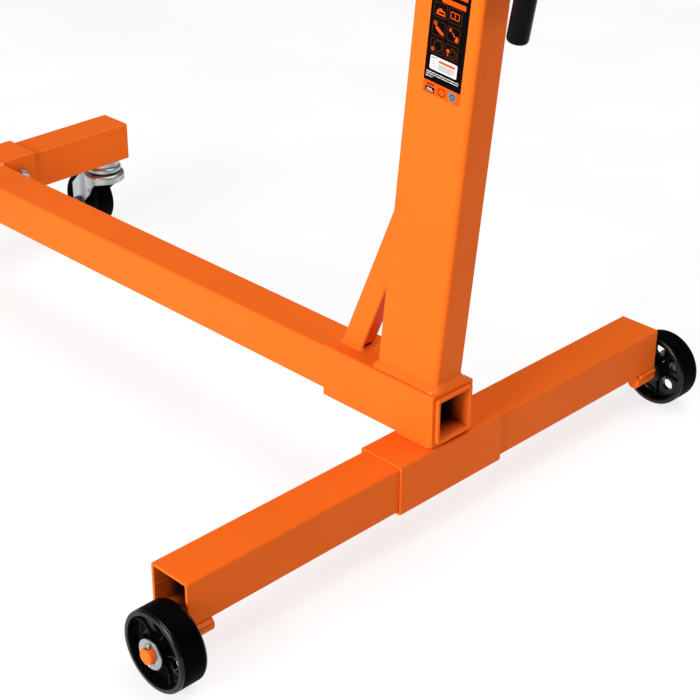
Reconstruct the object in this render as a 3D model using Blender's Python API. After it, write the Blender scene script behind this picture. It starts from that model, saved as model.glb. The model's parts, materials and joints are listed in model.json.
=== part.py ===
"""Engine stand: a square-tube base on two fixed wheels and two swivel casters, with a
leaning post that carries a rotating head, four adjustable mounting arms and a handle.

Axes: +Y runs from the handle towards the engine, +X to the stand's right, +Z up. The
origin is on the ground, under the middle of the stand. Lengths are in metres.
"""
import math

import bmesh
import bpy
from mathutils import Matrix, Vector

MM = 0.001
GAP = 0.3 * MM                      # clearance between neighbouring pieces

# Square tubing
TUBE = 50 * MM
TUBE_WALL = 3 * MM
TUBE_CORNER = 2.5 * MM
TUBE_INNER_CORNER = 1 * MM
SLEEVE_BORE = TUBE + 2 * GAP
SET_BOLT_RADIUS = 5 * MM

# Base; the middle of the rear cross tube sets its places along Y
REAR_Y = -362.15 * MM
FRONT_Y = REAR_Y + 802 * MM
REAR_TUBE_LENGTH = 692 * MM
FRONT_TUBE_LENGTH = 456 * MM
REAR_SLEEVE = 56 * MM
REAR_SLEEVE_LENGTH = 150 * MM
FRONT_SLEEVE = 57 * MM
FRONT_SLEEVE_LENGTH = 148 * MM
CENTRE_SLEEVE = 59 * MM
CENTRE_SLEEVE_REAR = REAR_Y - 25 * MM
CENTRE_SLEEVE_FRONT = REAR_Y + 129 * MM
BEAM_OVERHANG = 4.2 * MM            # how far the beam sticks out behind its sleeve
REAR_SET_BOLT_X = 45 * MM
CENTRE_SET_BOLT_Y = REAR_Y + 100 * MM
FRONT_BOLT_X = 49 * MM

# Rear wheels and their axle rods, welded under the rear cross tube
WHEEL_SIDES = 28
WHEEL_RADIUS = 41 * MM
AXLE_RADIUS = 8 * MM
AXLE_Y = REAR_Y - 18.4 * MM
AXLE_INNER_X = 316.5 * MM
AXLE_OUTER_X = 392 * MM
WHEEL_X = 368 * MM                  # middle of the rim
HUB_INNER = -21.4 * MM              # hub ends, from the middle of the rim
HUB_OUTER = 15.5 * MM
RIM_HALF_WIDTH = 15 * MM
WEB_HALF = 2.5 * MM
WASHER_RADIUS = 15.5 * MM
WASHER_THICKNESS = 2.5 * MM
COTTER_X = 388.5 * MM
COTTER_WIRE = 0.8 * MM
WEB_HOLE_COUNT = 5
WEB_HOLE_CIRCLE = 21.8 * MM
WEB_HOLE_RADIUS = 6.5 * MM
WEB_HOLE_TURN = {"left": -146, "right": 88}     # degrees from +Y towards +Z

# Heights that follow from the wheels
REAR_Z = WHEEL_RADIUS + AXLE_RADIUS + GAP + TUBE / 2
SLEEVE_BASE_Z = REAR_Z + REAR_SLEEVE / 2 + GAP
BEAM_Z = SLEEVE_BASE_Z + CENTRE_SLEEVE / 2
SLEEVE_TOP_Z = SLEEVE_BASE_Z + CENTRE_SLEEVE
FRONT_UNDERSIDE_Z = BEAM_Z - TUBE / 2

# Swivel casters under the front cross tube
CASTER_X = 203 * MM
CASTER_TRAIL = 36 * MM
CASTER_RADIUS = 38 * MM
CASTER_HALF_WIDTH = 13.5 * MM
CASTER_HUB_HALF = 16.2 * MM
FORK_HALF_WIDTH = 19 * MM
FORK_SHEET = 2.5 * MM
FORK_FOOT_RADIUS = 13.5 * MM
FORK_UNDERSIDE_Z = 78.3 * MM
FORK_SHOULDER_Z = 84 * MM
FORK_TOP_Z = 91.2 * MM
RACE_BOTTOM_Z = 91.5 * MM
RACE_RADIUS = 23.5 * MM
HOOD_RADIUS = 27.5 * MM
HOOD_SIDES = 24
KING_RADIUS = 6 * MM
KING_TOP_Z = 124 * MM
CASTER_BOLT_RADIUS = 4 * MM

# Post and brace
POST_WIDTH = 40 * MM
POST_DEPTH = 80 * MM
POST_WALL = 3 * MM
POST_CORNER = 5 * MM
POST_INNER_CORNER = 3 * MM
POST_Y = REAR_Y + 21.3 * MM
POST_LEAN = math.radians(5.9)
BRACE_WIDTH = 20 * MM
BRACE_DEPTH = 26 * MM
BRACE_WALL = 2 * MM
BRACE_CORNER = 2.5 * MM
BRACE_Y = REAR_Y + 107.9 * MM
BRACE_LEAN = math.radians(22.6)
FOOT_Z = SLEEVE_TOP_Z + GAP

# Rotating head, along its own axis from the middle of the post (+ is forward)
HEAD_UP = 575 * MM                  # distance up the post
HEAD_TUBE_RADIUS = 35 * MM
HEAD_TUBE_BORE = 30 * MM
HEAD_TUBE_REAR = -50 * MM
HEAD_TUBE_FRONT = 82 * MM
SHAFT_RADIUS = HEAD_TUBE_BORE - 0.4 * MM
SHAFT_BORE = 23 * MM
SHAFT_REAR = -102 * MM
PLATE_REAR = 83 * MM
PLATE_THICKNESS = 10 * MM
PLATE_FRONT = PLATE_REAR + PLATE_THICKNESS
PLATE_SIZE = 190 * MM
INDEX_HOLES = 8
INDEX_HOLE_RADIUS = 5.5 * MM
PIN_RADIUS = 5 * MM
GUIDE_RADIUS = 11 * MM
GUIDE_REAR = 14 * MM
GUIDE_FRONT = 64 * MM
PIN_CIRCLE = HEAD_TUBE_RADIUS + GAP + GUIDE_RADIUS
GUSSET_THICKNESS = 6 * MM
GUSSET_FRONT = 78 * MM
GUSSET_BOTTOM = -100 * MM
GUSSET_LIP = 6 * MM                 # height of its front edge and width of its bottom
COLLAR_RADIUS = 39 * MM
COLLAR_REAR = -66 * MM

# Mounting arms and their clamp bolts
CLAMP_OFFSET = 72 * MM              # clamp bolt from the head axis, sideways and up
CLAMP_RADIUS = 6 * MM
ARM_REACH = 88 * MM                 # clamp bolt to the arm's tube, arm pulled in
ARM_TRAVEL = 45 * MM
ARM_TAIL = 60 * MM
ARM_WIDTH = 40 * MM
ARM_THICKNESS = 8 * MM
ARM_TUBE_RADIUS = 14 * MM
ARM_TUBE_BORE = 7.3 * MM
ARM_TUBE_LENGTH = 64 * MM
ARM_SIDES = {"right_top": (1, 1), "left_top": (-1, 1), "left_bottom": (-1, -1), "right_bottom": (1, -1)}

# Handle: a bar through the shaft, with its upper grip resting on the shaft
HANDLE_LEAN = math.radians(4.1)     # from the post's direction
HANDLE_FORWARD = -80.6 * MM
HANDLE_RADIUS = 7.3 * MM
GRIP_RADIUS = 10.2 * MM
GRIP_LENGTH = 110 * MM
GRIP_CAP = 3 * MM
GRIP_LOW = -198.9 * MM              # lower grip's free end, along the handle
GRIP_REST = 31 * MM                 # upper grip's seat on the shaft

ALONG_X = Matrix.Rotation(math.pi / 2, 4, "Y")      # turns a piece's +Z to +X
ALONG_Y = Matrix.Rotation(-math.pi / 2, 4, "X")     # turns a piece's +Z to +Y
BACK_ALONG_X = Matrix.Rotation(-math.pi / 2, 4, "Y")
BACK_ALONG_Y = Matrix.Rotation(math.pi / 2, 4, "X")
SIDEWAYS = Matrix(((0, 0, 1, 0), (1, 0, 0, 0), (0, 1, 0, 0), (0, 0, 0, 1)))     # X, Y, Z to Y, Z, X


# ---------------------------------------------------------------- shape tools

def rounded_rectangle(width, depth, radius, steps=3):
    """Outline of a rectangle with round corners, centred on the origin."""
    points = []
    for corner, (side, end) in enumerate(((1, 1), (-1, 1), (-1, -1), (1, -1))):
        middle = Vector((side * (width / 2 - radius), end * (depth / 2 - radius)))
        for step in range(steps + 1):
            angle = math.radians(90 * (corner + step / steps))
            points.append((middle.x + radius * math.cos(angle), middle.y + radius * math.sin(angle)))
    return points


def arc(centre, radius, start, stop, steps):
    """Points on an arc; the angles are in degrees."""
    angles = [math.radians(start + (stop - start) * step / steps) for step in range(steps + 1)]
    return [(centre[0] + radius * math.cos(a), centre[1] + radius * math.sin(a)) for a in angles]


def circle(radius, steps, centre=(0, 0)):
    """A regular polygon whose flats face the axes."""
    return arc(centre, radius, 180 / steps, 360 + 180 / steps, steps)[:-1]


def ring(radius, height, steps):
    return [(x, y, height) for x, y in circle(radius, steps)]


def hexagon(across_flats, height):
    """A hexagon as twelve points: its corners and the middles of its flats."""
    corner = across_flats / 2 / math.cos(math.pi / 6)
    sizes = (across_flats / 2, corner) * 6
    turns = [math.pi / 6 * step for step in range(12)]
    return [(size * math.cos(turn), size * math.sin(turn), height) for size, turn in zip(sizes, turns)]


def to_mesh(bm):
    bmesh.ops.recalc_face_normals(bm, faces=bm.faces[:])
    mesh = bpy.data.meshes.new("shape")
    bm.to_mesh(mesh)
    bm.free()
    return mesh


def prism(outline, start, end, holes=()):
    """A solid along Z with an outline and holes; each end is a height, or a height as a
    function of x and y where that end is mitred."""
    bm = bmesh.new()
    for loop in (outline, *holes):
        verts = [bm.verts.new((x, y, 0)) for x, y in loop]
        for first, second in zip(verts, verts[1:] + verts[:1]):
            bm.edges.new((first, second))
    bmesh.ops.triangle_fill(bm, edges=bm.edges[:], use_beauty=True)
    lifted = bmesh.ops.extrude_face_region(bm, geom=bm.faces[:])["geom"]
    upper = {item for item in lifted if isinstance(item, bmesh.types.BMVert)}
    for vert in bm.verts:
        height = end if vert in upper else start
        vert.co.z = height(vert.co.x, vert.co.y) if callable(height) else height
    return to_mesh(bm)


def loft(rings, hollow=False):
    """A solid through rings of points. A hollow one joins its last ring to its first."""
    bm = bmesh.new()
    loops = [[bm.verts.new(point) for point in points] for points in rings]
    pairs = list(zip(loops, loops[1:]))
    if hollow:
        pairs.append((loops[-1], loops[0]))
    else:
        bm.faces.new(loops[0])
        bm.faces.new(loops[-1])
    for lower, upper in pairs:
        for index, corner in enumerate(lower):
            after = (index + 1) % len(lower)
            bm.faces.new((corner, lower[after], upper[after], upper[index]))
    return to_mesh(bm)


def turned(profile, steps, hollow=False):
    """A turned piece from (radius, height) points."""
    return loft([ring(radius, height, steps) for radius, height in profile], hollow)


def pipe(outer, inner, start, end, steps):
    return turned([(inner, start), (outer, start), (outer, end), (inner, end)], steps, hollow=True)


def combine(mesh, tool, operation):
    """The mesh after a Boolean with a tool mesh in the same coordinates."""
    base = bpy.data.objects.new("base", mesh)
    other = bpy.data.objects.new("tool", tool)
    for item in (base, other):
        bpy.context.scene.collection.objects.link(item)
    step = base.modifiers.new("boolean", "BOOLEAN")
    step.operation = operation
    step.solver = "EXACT"
    step.object = other
    graph = bpy.context.evaluated_depsgraph_get()
    result = bpy.data.meshes.new_from_object(base.evaluated_get(graph))
    for item in (base, other):
        bpy.data.objects.remove(item)
    return result


def drilled(mesh, radius, length, place, steps=16):
    """The mesh with a round hole along the Z axis of place, centred on its origin."""
    tool = turned([(radius, -length / 2), (radius, length / 2)], steps)
    tool.transform(place)
    return combine(mesh, tool, "DIFFERENCE")


def bolt(across_flats, head, radius, length, washer=None, washer_thickness=0.0):
    """A hex bolt: the head ends at Z = 0 and the shank runs up from there. A washer
    under the head is part of it."""
    seat = -washer_thickness
    chamfer = 0.9 * MM
    rings = [
        hexagon(across_flats - 2 * chamfer, seat - head),
        hexagon(across_flats, seat - head + chamfer / 2),
        hexagon(across_flats, seat),
    ]
    if washer:
        rings += [ring(washer, seat, 12), ring(washer, 0, 12)]
    rings += [ring(radius, 0, 12), ring(radius, length - chamfer, 12), ring(radius - chamfer, length, 12)]
    return loft(rings)


def nut(across_flats, height, bore, flange=None):
    """A hex nut from Z = 0 up, with a round flange at its foot where it has one."""
    rings = [ring(bore, 0, 12)]
    if flange:
        rings += [ring(flange, 0, 12), ring(flange, 2 * MM, 12), hexagon(across_flats, 2 * MM)]
    else:
        rings += [hexagon(across_flats, 0)]
    rings += [hexagon(across_flats, height), ring(bore, height, 12)]
    return loft(rings, hollow=True)


# ---------------------------------------------------------- scene and materials

def principled(name, colour, roughness, metallic):
    material = bpy.data.materials.new(name)
    material.use_nodes = True
    shader = material.node_tree.nodes["Principled BSDF"]
    shader.inputs["Base Color"].default_value = (*colour, 1)
    shader.inputs["Roughness"].default_value = roughness
    shader.inputs["Metallic"].default_value = metallic
    return material


def joint_empty(name, matrix, parent=None):
    """An empty on a joint's axis, which carries the pieces that move with the joint."""
    empty = bpy.data.objects.new(name, None)
    empty.empty_display_size = 20 * MM
    bpy.context.scene.collection.objects.link(empty)
    empty.parent = parent
    empty.matrix_local = matrix
    return empty


def place(name, shape, material, matrix, parent=None):
    """An object of its own for one piece, at a place given in its parent's axes."""
    if not shape.materials:
        shape.materials.append(material)
    if isinstance(shape, bpy.types.Mesh):
        shape.shade_smooth()
        shape.set_sharp_from_angle(angle=math.radians(32))
    piece = bpy.data.objects.new(name, shape)
    bpy.context.scene.collection.objects.link(piece)
    piece.parent = parent
    piece.matrix_local = matrix
    return piece


def at(x, y, z, turn=None):
    shift = Matrix.Translation((x, y, z))
    return shift @ turn if turn else shift


def leaning(y, z, lean):
    """A frame on the centre plane whose +Z leans back from the vertical by an angle."""
    return at(0, y, z, Matrix.Rotation(lean, 4, "X"))


# ------------------------------------------------------------------ base frame

def square_tube(size, bore, inner_corner, length, turn):
    inner = rounded_rectangle(bore, bore, inner_corner)
    mesh = prism(rounded_rectangle(size, size, TUBE_CORNER), -length / 2, length / 2, [inner])
    mesh.transform(turn)
    return mesh


def tube(length, turn):
    return square_tube(TUBE, TUBE - 2 * TUBE_WALL, TUBE_INNER_CORNER, length, turn)


def sleeve(size, length, turn):
    return square_tube(size, SLEEVE_BORE, TUBE_CORNER, length, turn)


def build_base(paint, zinc):
    hole = SET_BOLT_RADIUS + GAP

    rear_tube = tube(REAR_TUBE_LENGTH, ALONG_X)
    rear_sleeve = sleeve(REAR_SLEEVE, REAR_SLEEVE_LENGTH, ALONG_X)
    for x in (-REAR_SET_BOLT_X, REAR_SET_BOLT_X):
        spot = at(x, REAR_SLEEVE / 2, 0, ALONG_Y)
        rear_tube = drilled(rear_tube, hole, TUBE / 2, spot)
        rear_sleeve = drilled(rear_sleeve, hole, TUBE / 2, spot)
    place("rear_cross_tube", rear_tube, paint, at(0, REAR_Y, REAR_Z))
    place("rear_cross_sleeve", rear_sleeve, paint, at(0, REAR_Y, REAR_Z))
    set_bolt = bolt(17 * MM, 6.5 * MM, SET_BOLT_RADIUS, 11 * MM)
    for side, x in (("left", -REAR_SET_BOLT_X), ("right", REAR_SET_BOLT_X)):
        seat = at(x, REAR_Y + REAR_SLEEVE / 2 + GAP, REAR_Z, BACK_ALONG_Y)
        place(f"rear_set_bolt_{side}", set_bolt, zinc, seat)

    sleeve_length = CENTRE_SLEEVE_FRONT - CENTRE_SLEEVE_REAR
    sleeve_y = (CENTRE_SLEEVE_FRONT + CENTRE_SLEEVE_REAR) / 2
    beam_rear = CENTRE_SLEEVE_REAR - BEAM_OVERHANG
    beam_front = FRONT_Y - FRONT_SLEEVE / 2 - GAP
    beam_y = (beam_rear + beam_front) / 2
    centre_sleeve = sleeve(CENTRE_SLEEVE, sleeve_length, ALONG_Y)
    spot = at(CENTRE_SLEEVE / 2, CENTRE_SET_BOLT_Y - sleeve_y, 0, ALONG_X)
    centre_sleeve = drilled(centre_sleeve, hole, TUBE / 2, spot)
    beam = tube(beam_front - beam_rear, ALONG_Y)
    spot = at(CENTRE_SLEEVE / 2, CENTRE_SET_BOLT_Y - beam_y, 0, ALONG_X)
    beam = drilled(beam, hole, TUBE / 2, spot)
    place("centre_sleeve", centre_sleeve, paint, at(0, sleeve_y, BEAM_Z))
    place("centre_beam", beam, paint, at(0, beam_y, BEAM_Z))
    seat = at(CENTRE_SLEEVE / 2 + GAP, CENTRE_SET_BOLT_Y, BEAM_Z, BACK_ALONG_X)
    place("centre_set_bolt", set_bolt, zinc, seat)

    front_tube = tube(FRONT_TUBE_LENGTH, ALONG_X)
    front_sleeve = sleeve(FRONT_SLEEVE, FRONT_SLEEVE_LENGTH, ALONG_X)
    for x in (-FRONT_BOLT_X, FRONT_BOLT_X):
        front_tube = drilled(front_tube, hole, 2 * FRONT_SLEEVE, at(x, 0, 0, ALONG_Y))
        front_sleeve = drilled(front_sleeve, hole, 2 * FRONT_SLEEVE, at(x, 0, 0, ALONG_Y))
    for x in (-CASTER_X, CASTER_X):
        front_tube = drilled(front_tube, KING_RADIUS + GAP, TUBE / 2, at(x, 0, -TUBE / 2))
    place("front_cross_tube", front_tube, paint, at(0, FRONT_Y, BEAM_Z))
    place("front_cross_sleeve", front_sleeve, paint, at(0, FRONT_Y, BEAM_Z))
    long_bolt = bolt(
        17 * MM, 6.5 * MM, SET_BOLT_RADIUS, 70 * MM, washer=10.5 * MM, washer_thickness=2 * MM)
    long_nut = nut(17 * MM, 9 * MM, SET_BOLT_RADIUS + GAP, flange=10.5 * MM)
    for side, x in (("left", -FRONT_BOLT_X), ("right", FRONT_BOLT_X)):
        reach = FRONT_SLEEVE / 2 + GAP
        place(f"front_bolt_{side}", long_bolt, zinc, at(x, FRONT_Y - reach, BEAM_Z, ALONG_Y))
        place(f"front_nut_{side}", long_nut, zinc, at(x, FRONT_Y + reach, BEAM_Z, ALONG_Y))


# ----------------------------------------------------------------- rear wheels

def wheel_shape(turn):
    """A spoked-web wheel along Z; its flats touch the ground at the wheel's true radius."""
    tread = WHEEL_RADIUS / math.cos(math.pi / WHEEL_SIDES)
    bore = AXLE_RADIUS + GAP
    rim = RIM_HALF_WIDTH
    profile = [
        (bore, HUB_INNER), (13.5 * MM, HUB_INNER), (14.5 * MM, -WEB_HALF), (34 * MM, -WEB_HALF),
        (35 * MM, -rim), (38.5 * MM, -rim), (tread, 2.5 * MM - rim), (tread, rim - 2.5 * MM),
        (38.5 * MM, rim), (35.5 * MM, rim), (34.5 * MM, WEB_HALF), (14.5 * MM, WEB_HALF),
        (13 * MM, HUB_OUTER), (bore, HUB_OUTER),
    ]
    mesh = turned(profile, WHEEL_SIDES, hollow=True)
    for index in range(WEB_HOLE_COUNT):
        angle = math.radians(turn + 360 * index / WEB_HOLE_COUNT)
        spot = at(WEB_HOLE_CIRCLE * math.cos(angle), WEB_HOLE_CIRCLE * math.sin(angle), 0)
        mesh = drilled(mesh, WEB_HOLE_RADIUS, 4 * WEB_HALF, spot, steps=12)
    return mesh


def cotter_shape():
    """A split pin in the YZ plane, with its eye above and its legs bent apart below."""
    leg = 0.95 * MM
    eye = 1.9 * MM
    eye_z = 10.2 * MM
    open_angle = math.degrees(math.asin(leg / eye))
    half = [(3.6 * MM, -10.6 * MM), (1.9 * MM, -9.4 * MM), (leg, -8.6 * MM), (leg, 0), (leg, 7.8 * MM)]
    loop = arc((0, eye_z), eye, -90 + open_angle, 270 - open_angle, 10)
    points = half + loop + [(-y, z) for y, z in reversed(half)]
    curve = bpy.data.curves.new("cotter", "CURVE")
    curve.dimensions = "3D"
    curve.bevel_depth = COTTER_WIRE
    curve.bevel_resolution = 1
    curve.use_fill_caps = True
    wire = curve.splines.new("POLY")
    wire.points.add(len(points) - 1)
    for point, (y, z) in zip(wire.points, points):
        point.co = (0, y, z, 1)
    return curve


def build_rear_wheels(paint, zinc, black):
    rod_length = AXLE_OUTER_X - AXLE_INNER_X
    chamfer = 1.2 * MM
    profile = [(AXLE_RADIUS, 0), (AXLE_RADIUS, rod_length - chamfer), (AXLE_RADIUS - chamfer, rod_length)]
    rod = turned(profile, 24)
    cotter_hole = at(0, 0, COTTER_X - AXLE_INNER_X, ALONG_X)
    rod = drilled(rod, 2.1 * MM, 4 * AXLE_RADIUS, cotter_hole, steps=10)
    washer = pipe(WASHER_RADIUS, AXLE_RADIUS + GAP, 0, WASHER_THICKNESS, 24)
    cotter = cotter_shape()
    for name, side in (("left", -1), ("right", 1)):
        outward = at(0, 0, 0, ALONG_X if side > 0 else BACK_ALONG_X)
        # A wheel's own +Z points outwards, so its X axis is up on one side and down on the other.
        shape = wheel_shape(90 + side * WEB_HOLE_TURN[name])
        hub = joint_empty(f"rear_wheel_{name}_axis", at(side * WHEEL_X, AXLE_Y, WHEEL_RADIUS))
        place(f"rear_wheel_{name}", shape, black, outward, hub)
        place(f"rear_axle_{name}", rod, paint, at(side * AXLE_INNER_X, AXLE_Y, WHEEL_RADIUS) @ outward)
        washer_x = side * (WHEEL_X + HUB_OUTER + GAP)
        place(f"rear_washer_{name}", washer, zinc, at(washer_x, AXLE_Y, WHEEL_RADIUS) @ outward)
        place(f"rear_cotter_{name}", cotter, zinc, at(side * COTTER_X, AXLE_Y, WHEEL_RADIUS))


# --------------------------------------------------------------------- casters

def fork_shape():
    """The caster's fork, in the swivel's axes at ground level: a bent sheet with two
    legs, cut to its side outline, under a round hood."""
    inner = FORK_HALF_WIDTH - FORK_SHEET
    half = FORK_HALF_WIDTH
    channel = [
        (-half, 0), (-inner, 0), (-inner, FORK_UNDERSIDE_Z), (inner, FORK_UNDERSIDE_Z),
        (inner, 0), (half, 0), (half, FORK_SHOULDER_Z), (-half, FORK_SHOULDER_Z),
    ]
    sheet = prism(channel, -CASTER_TRAIL - 2 * FORK_FOOT_RADIUS, HOOD_RADIUS + MM)
    sheet.transform(BACK_ALONG_Y)               # the channel's height becomes +Z
    foot = arc((CASTER_TRAIL, CASTER_RADIUS), FORK_FOOT_RADIUS, 222, 360, 8)
    side = [(-HOOD_RADIUS, FORK_UNDERSIDE_Z - GAP), (-9 * MM, FORK_UNDERSIDE_Z - GAP)] + foot
    side += [(CASTER_TRAIL + FORK_FOOT_RADIUS, 62 * MM), (HOOD_RADIUS, FORK_SHOULDER_Z + GAP)]
    side += [(-HOOD_RADIUS, FORK_SHOULDER_Z + GAP)]
    outline = prism(side, -2 * FORK_HALF_WIDTH, 2 * FORK_HALF_WIDTH)
    outline.transform(SIDEWAYS)
    legs = combine(sheet, outline, "INTERSECT")
    rim = FORK_UNDERSIDE_Z - 0.1 * MM
    hood = turned([
        (KING_RADIUS + GAP, rim), (HOOD_RADIUS - 1 * MM, rim), (HOOD_RADIUS, rim + 1 * MM),
        (HOOD_RADIUS, 86 * MM), (26.5 * MM, 88.3 * MM), (24 * MM, 89.3 * MM), (18 * MM, 89.3 * MM),
        (17 * MM, FORK_TOP_Z), (KING_RADIUS + GAP, FORK_TOP_Z),
    ], HOOD_SIDES, hollow=True)
    body = combine(drilled(legs, KING_RADIUS + GAP, 0.2, at(0, 0, 0), HOOD_SIDES), hood, "UNION")
    axle = at(0, CASTER_TRAIL, CASTER_RADIUS, ALONG_X)
    return drilled(body, CASTER_BOLT_RADIUS + GAP, 0.1, axle)


def caster_wheel_shape():
    tread = CASTER_RADIUS / math.cos(math.pi / WHEEL_SIDES)
    bore = CASTER_BOLT_RADIUS + GAP
    half = [
        (bore, CASTER_HUB_HALF), (9 * MM, CASTER_HUB_HALF), (10 * MM, 9 * MM), (28 * MM, 9 * MM),
        (30 * MM, CASTER_HALF_WIDTH), (35 * MM, CASTER_HALF_WIDTH), (tread, 10 * MM),
    ]
    return turned(half + [(radius, -z) for radius, z in reversed(half)], WHEEL_SIDES, hollow=True)


def build_casters(zinc, black, steel):
    race_top = FRONT_UNDERSIDE_Z - GAP
    race = turned([
        (KING_RADIUS + GAP, race_top), (20.5 * MM, race_top), (21.5 * MM, race_top - 1.3 * MM),
        (21.5 * MM, 98.5 * MM), (RACE_RADIUS, 96.5 * MM), (RACE_RADIUS, RACE_BOTTOM_Z + 0.8 * MM),
        (RACE_RADIUS - 0.8 * MM, RACE_BOTTOM_Z), (KING_RADIUS + GAP, RACE_BOTTOM_Z),
    ], HOOD_SIDES, hollow=True)
    head_top = FORK_UNDERSIDE_Z - 0.1 * MM - GAP
    king = bolt(17 * MM, 6 * MM, KING_RADIUS, KING_TOP_Z - head_top)
    stem_nut = nut(19 * MM, 10 * MM, KING_RADIUS + GAP)
    fork = fork_shape()
    wheel = caster_wheel_shape()
    half = FORK_HALF_WIDTH + GAP
    axle_bolt = bolt(13 * MM, 5.3 * MM, CASTER_BOLT_RADIUS, 2 * half + 8.5 * MM)
    axle_nut = nut(13 * MM, 6.5 * MM, CASTER_BOLT_RADIUS + GAP)
    for name, side in (("left", -1), ("right", 1)):
        x = side * CASTER_X
        place(f"caster_race_{name}", race, zinc, at(x, FRONT_Y, 0))
        place(f"caster_king_bolt_{name}", king, zinc, at(x, FRONT_Y, head_top))
        nut_z = FRONT_UNDERSIDE_Z + TUBE_WALL + GAP
        place(f"caster_stem_nut_{name}", stem_nut, zinc, at(x, FRONT_Y, nut_z))
        swivel = joint_empty(f"caster_{name}_swivel", at(x, FRONT_Y, 0))
        place(f"caster_fork_{name}", fork, zinc, at(0, 0, 0), swivel)
        for part, shape, seat in (("bolt", axle_bolt, -half), ("nut", axle_nut, half)):
            seat = at(seat, CASTER_TRAIL, CASTER_RADIUS, ALONG_X)
            place(f"caster_axle_{part}_{name}", shape, steel, seat, swivel)
        spin = joint_empty(f"caster_{name}_axis", at(0, CASTER_TRAIL, CASTER_RADIUS), swivel)
        place(f"caster_wheel_{name}", wheel, black, at(0, 0, 0, ALONG_X), spin)


# -------------------------------------------------------------- post and brace

def build_post(paint, post_frame):
    """The leaning post, its brace, and what is welded on for the head."""
    bore = POST_WIDTH - 2 * POST_WALL, POST_DEPTH - 2 * POST_WALL
    inner = rounded_rectangle(*bore, POST_INNER_CORNER)
    post = prism(
        rounded_rectangle(POST_WIDTH, POST_DEPTH, POST_CORNER),
        lambda x, y: -y * math.tan(POST_LEAN), HEAD_UP - 10 * MM, [inner])
    saddle = at(0, 0, HEAD_UP, ALONG_Y)
    post = drilled(post, HEAD_TUBE_RADIUS + GAP, 0.2, saddle, steps=48)
    place("post", post, paint, post_frame)

    brace_frame = leaning(BRACE_Y, FOOT_Z, BRACE_LEAN)
    to_post = post_frame.inverted() @ brace_frame

    def post_face(x, y):
        """Height along the brace where it meets the post's front face."""
        foot = to_post @ Vector((x, y, 0))
        step = to_post.to_3x3() @ Vector((0, 0, 1))
        return (POST_DEPTH / 2 + GAP - foot.y) / step.y

    bore = BRACE_WIDTH - 2 * BRACE_WALL, BRACE_DEPTH - 2 * BRACE_WALL
    inner = rounded_rectangle(*bore, 1 * MM, steps=2)
    brace = prism(
        rounded_rectangle(BRACE_WIDTH, BRACE_DEPTH, BRACE_CORNER),
        lambda x, y: -y * math.tan(BRACE_LEAN), post_face, [inner])
    # A cut-out in the brace's foot, on the side that faces the post
    back = -BRACE_DEPTH / 2
    notch = prism([(-7 * MM, back - 2 * MM), (7 * MM, back - 2 * MM), (5 * MM, back + 4 * MM),
                   (-5 * MM, back + 4 * MM)], -5 * MM, 12 * MM)
    brace = combine(brace, notch, "DIFFERENCE")
    place("brace", brace, paint, brace_frame)

    head_frame = post_frame @ at(0, 0, HEAD_UP)
    head_tube = pipe(HEAD_TUBE_RADIUS, HEAD_TUBE_BORE, HEAD_TUBE_REAR, HEAD_TUBE_FRONT, 40)
    place("head_tube", head_tube, paint, head_frame @ ALONG_Y)

    top = -HEAD_TUBE_RADIUS - GAP
    back = POST_DEPTH / 2 + GAP
    outline = [(back, top), (GUSSET_FRONT, top), (GUSSET_FRONT, top - GUSSET_LIP)]
    outline += [(back + GUSSET_LIP, GUSSET_BOTTOM), (back, GUSSET_BOTTOM)]
    gusset = prism(outline, -GUSSET_THICKNESS / 2, GUSSET_THICKNESS / 2)
    gusset.transform(SIDEWAYS)
    place("head_gusset", gusset, paint, head_frame)

    guide = pipe(GUIDE_RADIUS, PIN_RADIUS + GAP, GUIDE_REAR, GUIDE_FRONT, 24)
    place("lock_pin_guide", guide, paint, head_frame @ at(0, 0, PIN_CIRCLE, ALONG_Y))
    return head_frame


# ------------------------------------------------------------------------ head

def build_lock_pin(zinc, rubber, head_frame):
    """The pin that slides forward into the mounting plate; it is drawn back at rest."""
    slide = joint_empty("lock_pin_axis", head_frame @ at(0, 0, PIN_CIRCLE, ALONG_Y))
    stop = GUIDE_FRONT + GAP
    nose = PLATE_REAR - 4 * MM
    pin = turned([
        (PIN_RADIUS, -24 * MM), (PIN_RADIUS, stop), (8 * MM, stop), (8 * MM, stop + 2.7 * MM),
        (PIN_RADIUS, stop + 2.7 * MM), (PIN_RADIUS, nose - 2 * MM), (PIN_RADIUS - 1.6 * MM, nose),
    ], 16)
    place("lock_pin", pin, zinc, at(0, 0, 0), slide)
    bore = PIN_RADIUS + GAP
    knob = turned([
        (bore, -8 * MM), (7.5 * MM, -8 * MM), (8 * MM, -12 * MM), (10 * MM, -16 * MM),
        (10.8 * MM, -21 * MM), (10 * MM, -26 * MM), (7 * MM, -29.3 * MM), (3 * MM, -30 * MM),
        (3 * MM, -24.6 * MM), (bore, -24.6 * MM),
    ], 16, hollow=True)
    place("lock_pin_knob", knob, rubber, at(0, 0, 0), slide)


def mount_plate_shape():
    """The square plate, with index holes for the lock pin and four clamp holes."""
    holes = []
    for index in range(INDEX_HOLES):
        angle = 2 * math.pi * index / INDEX_HOLES
        spot = (PIN_CIRCLE * math.cos(angle), PIN_CIRCLE * math.sin(angle))
        holes.append(circle(INDEX_HOLE_RADIUS, 12, spot))
    for side, end in ARM_SIDES.values():
        holes.append(circle(CLAMP_RADIUS + GAP, 12, (side * CLAMP_OFFSET, end * CLAMP_OFFSET)))
    outline = rounded_rectangle(PLATE_SIZE, PLATE_SIZE, 12 * MM, steps=4)
    return prism(outline, PLATE_REAR, PLATE_FRONT, holes)


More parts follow.
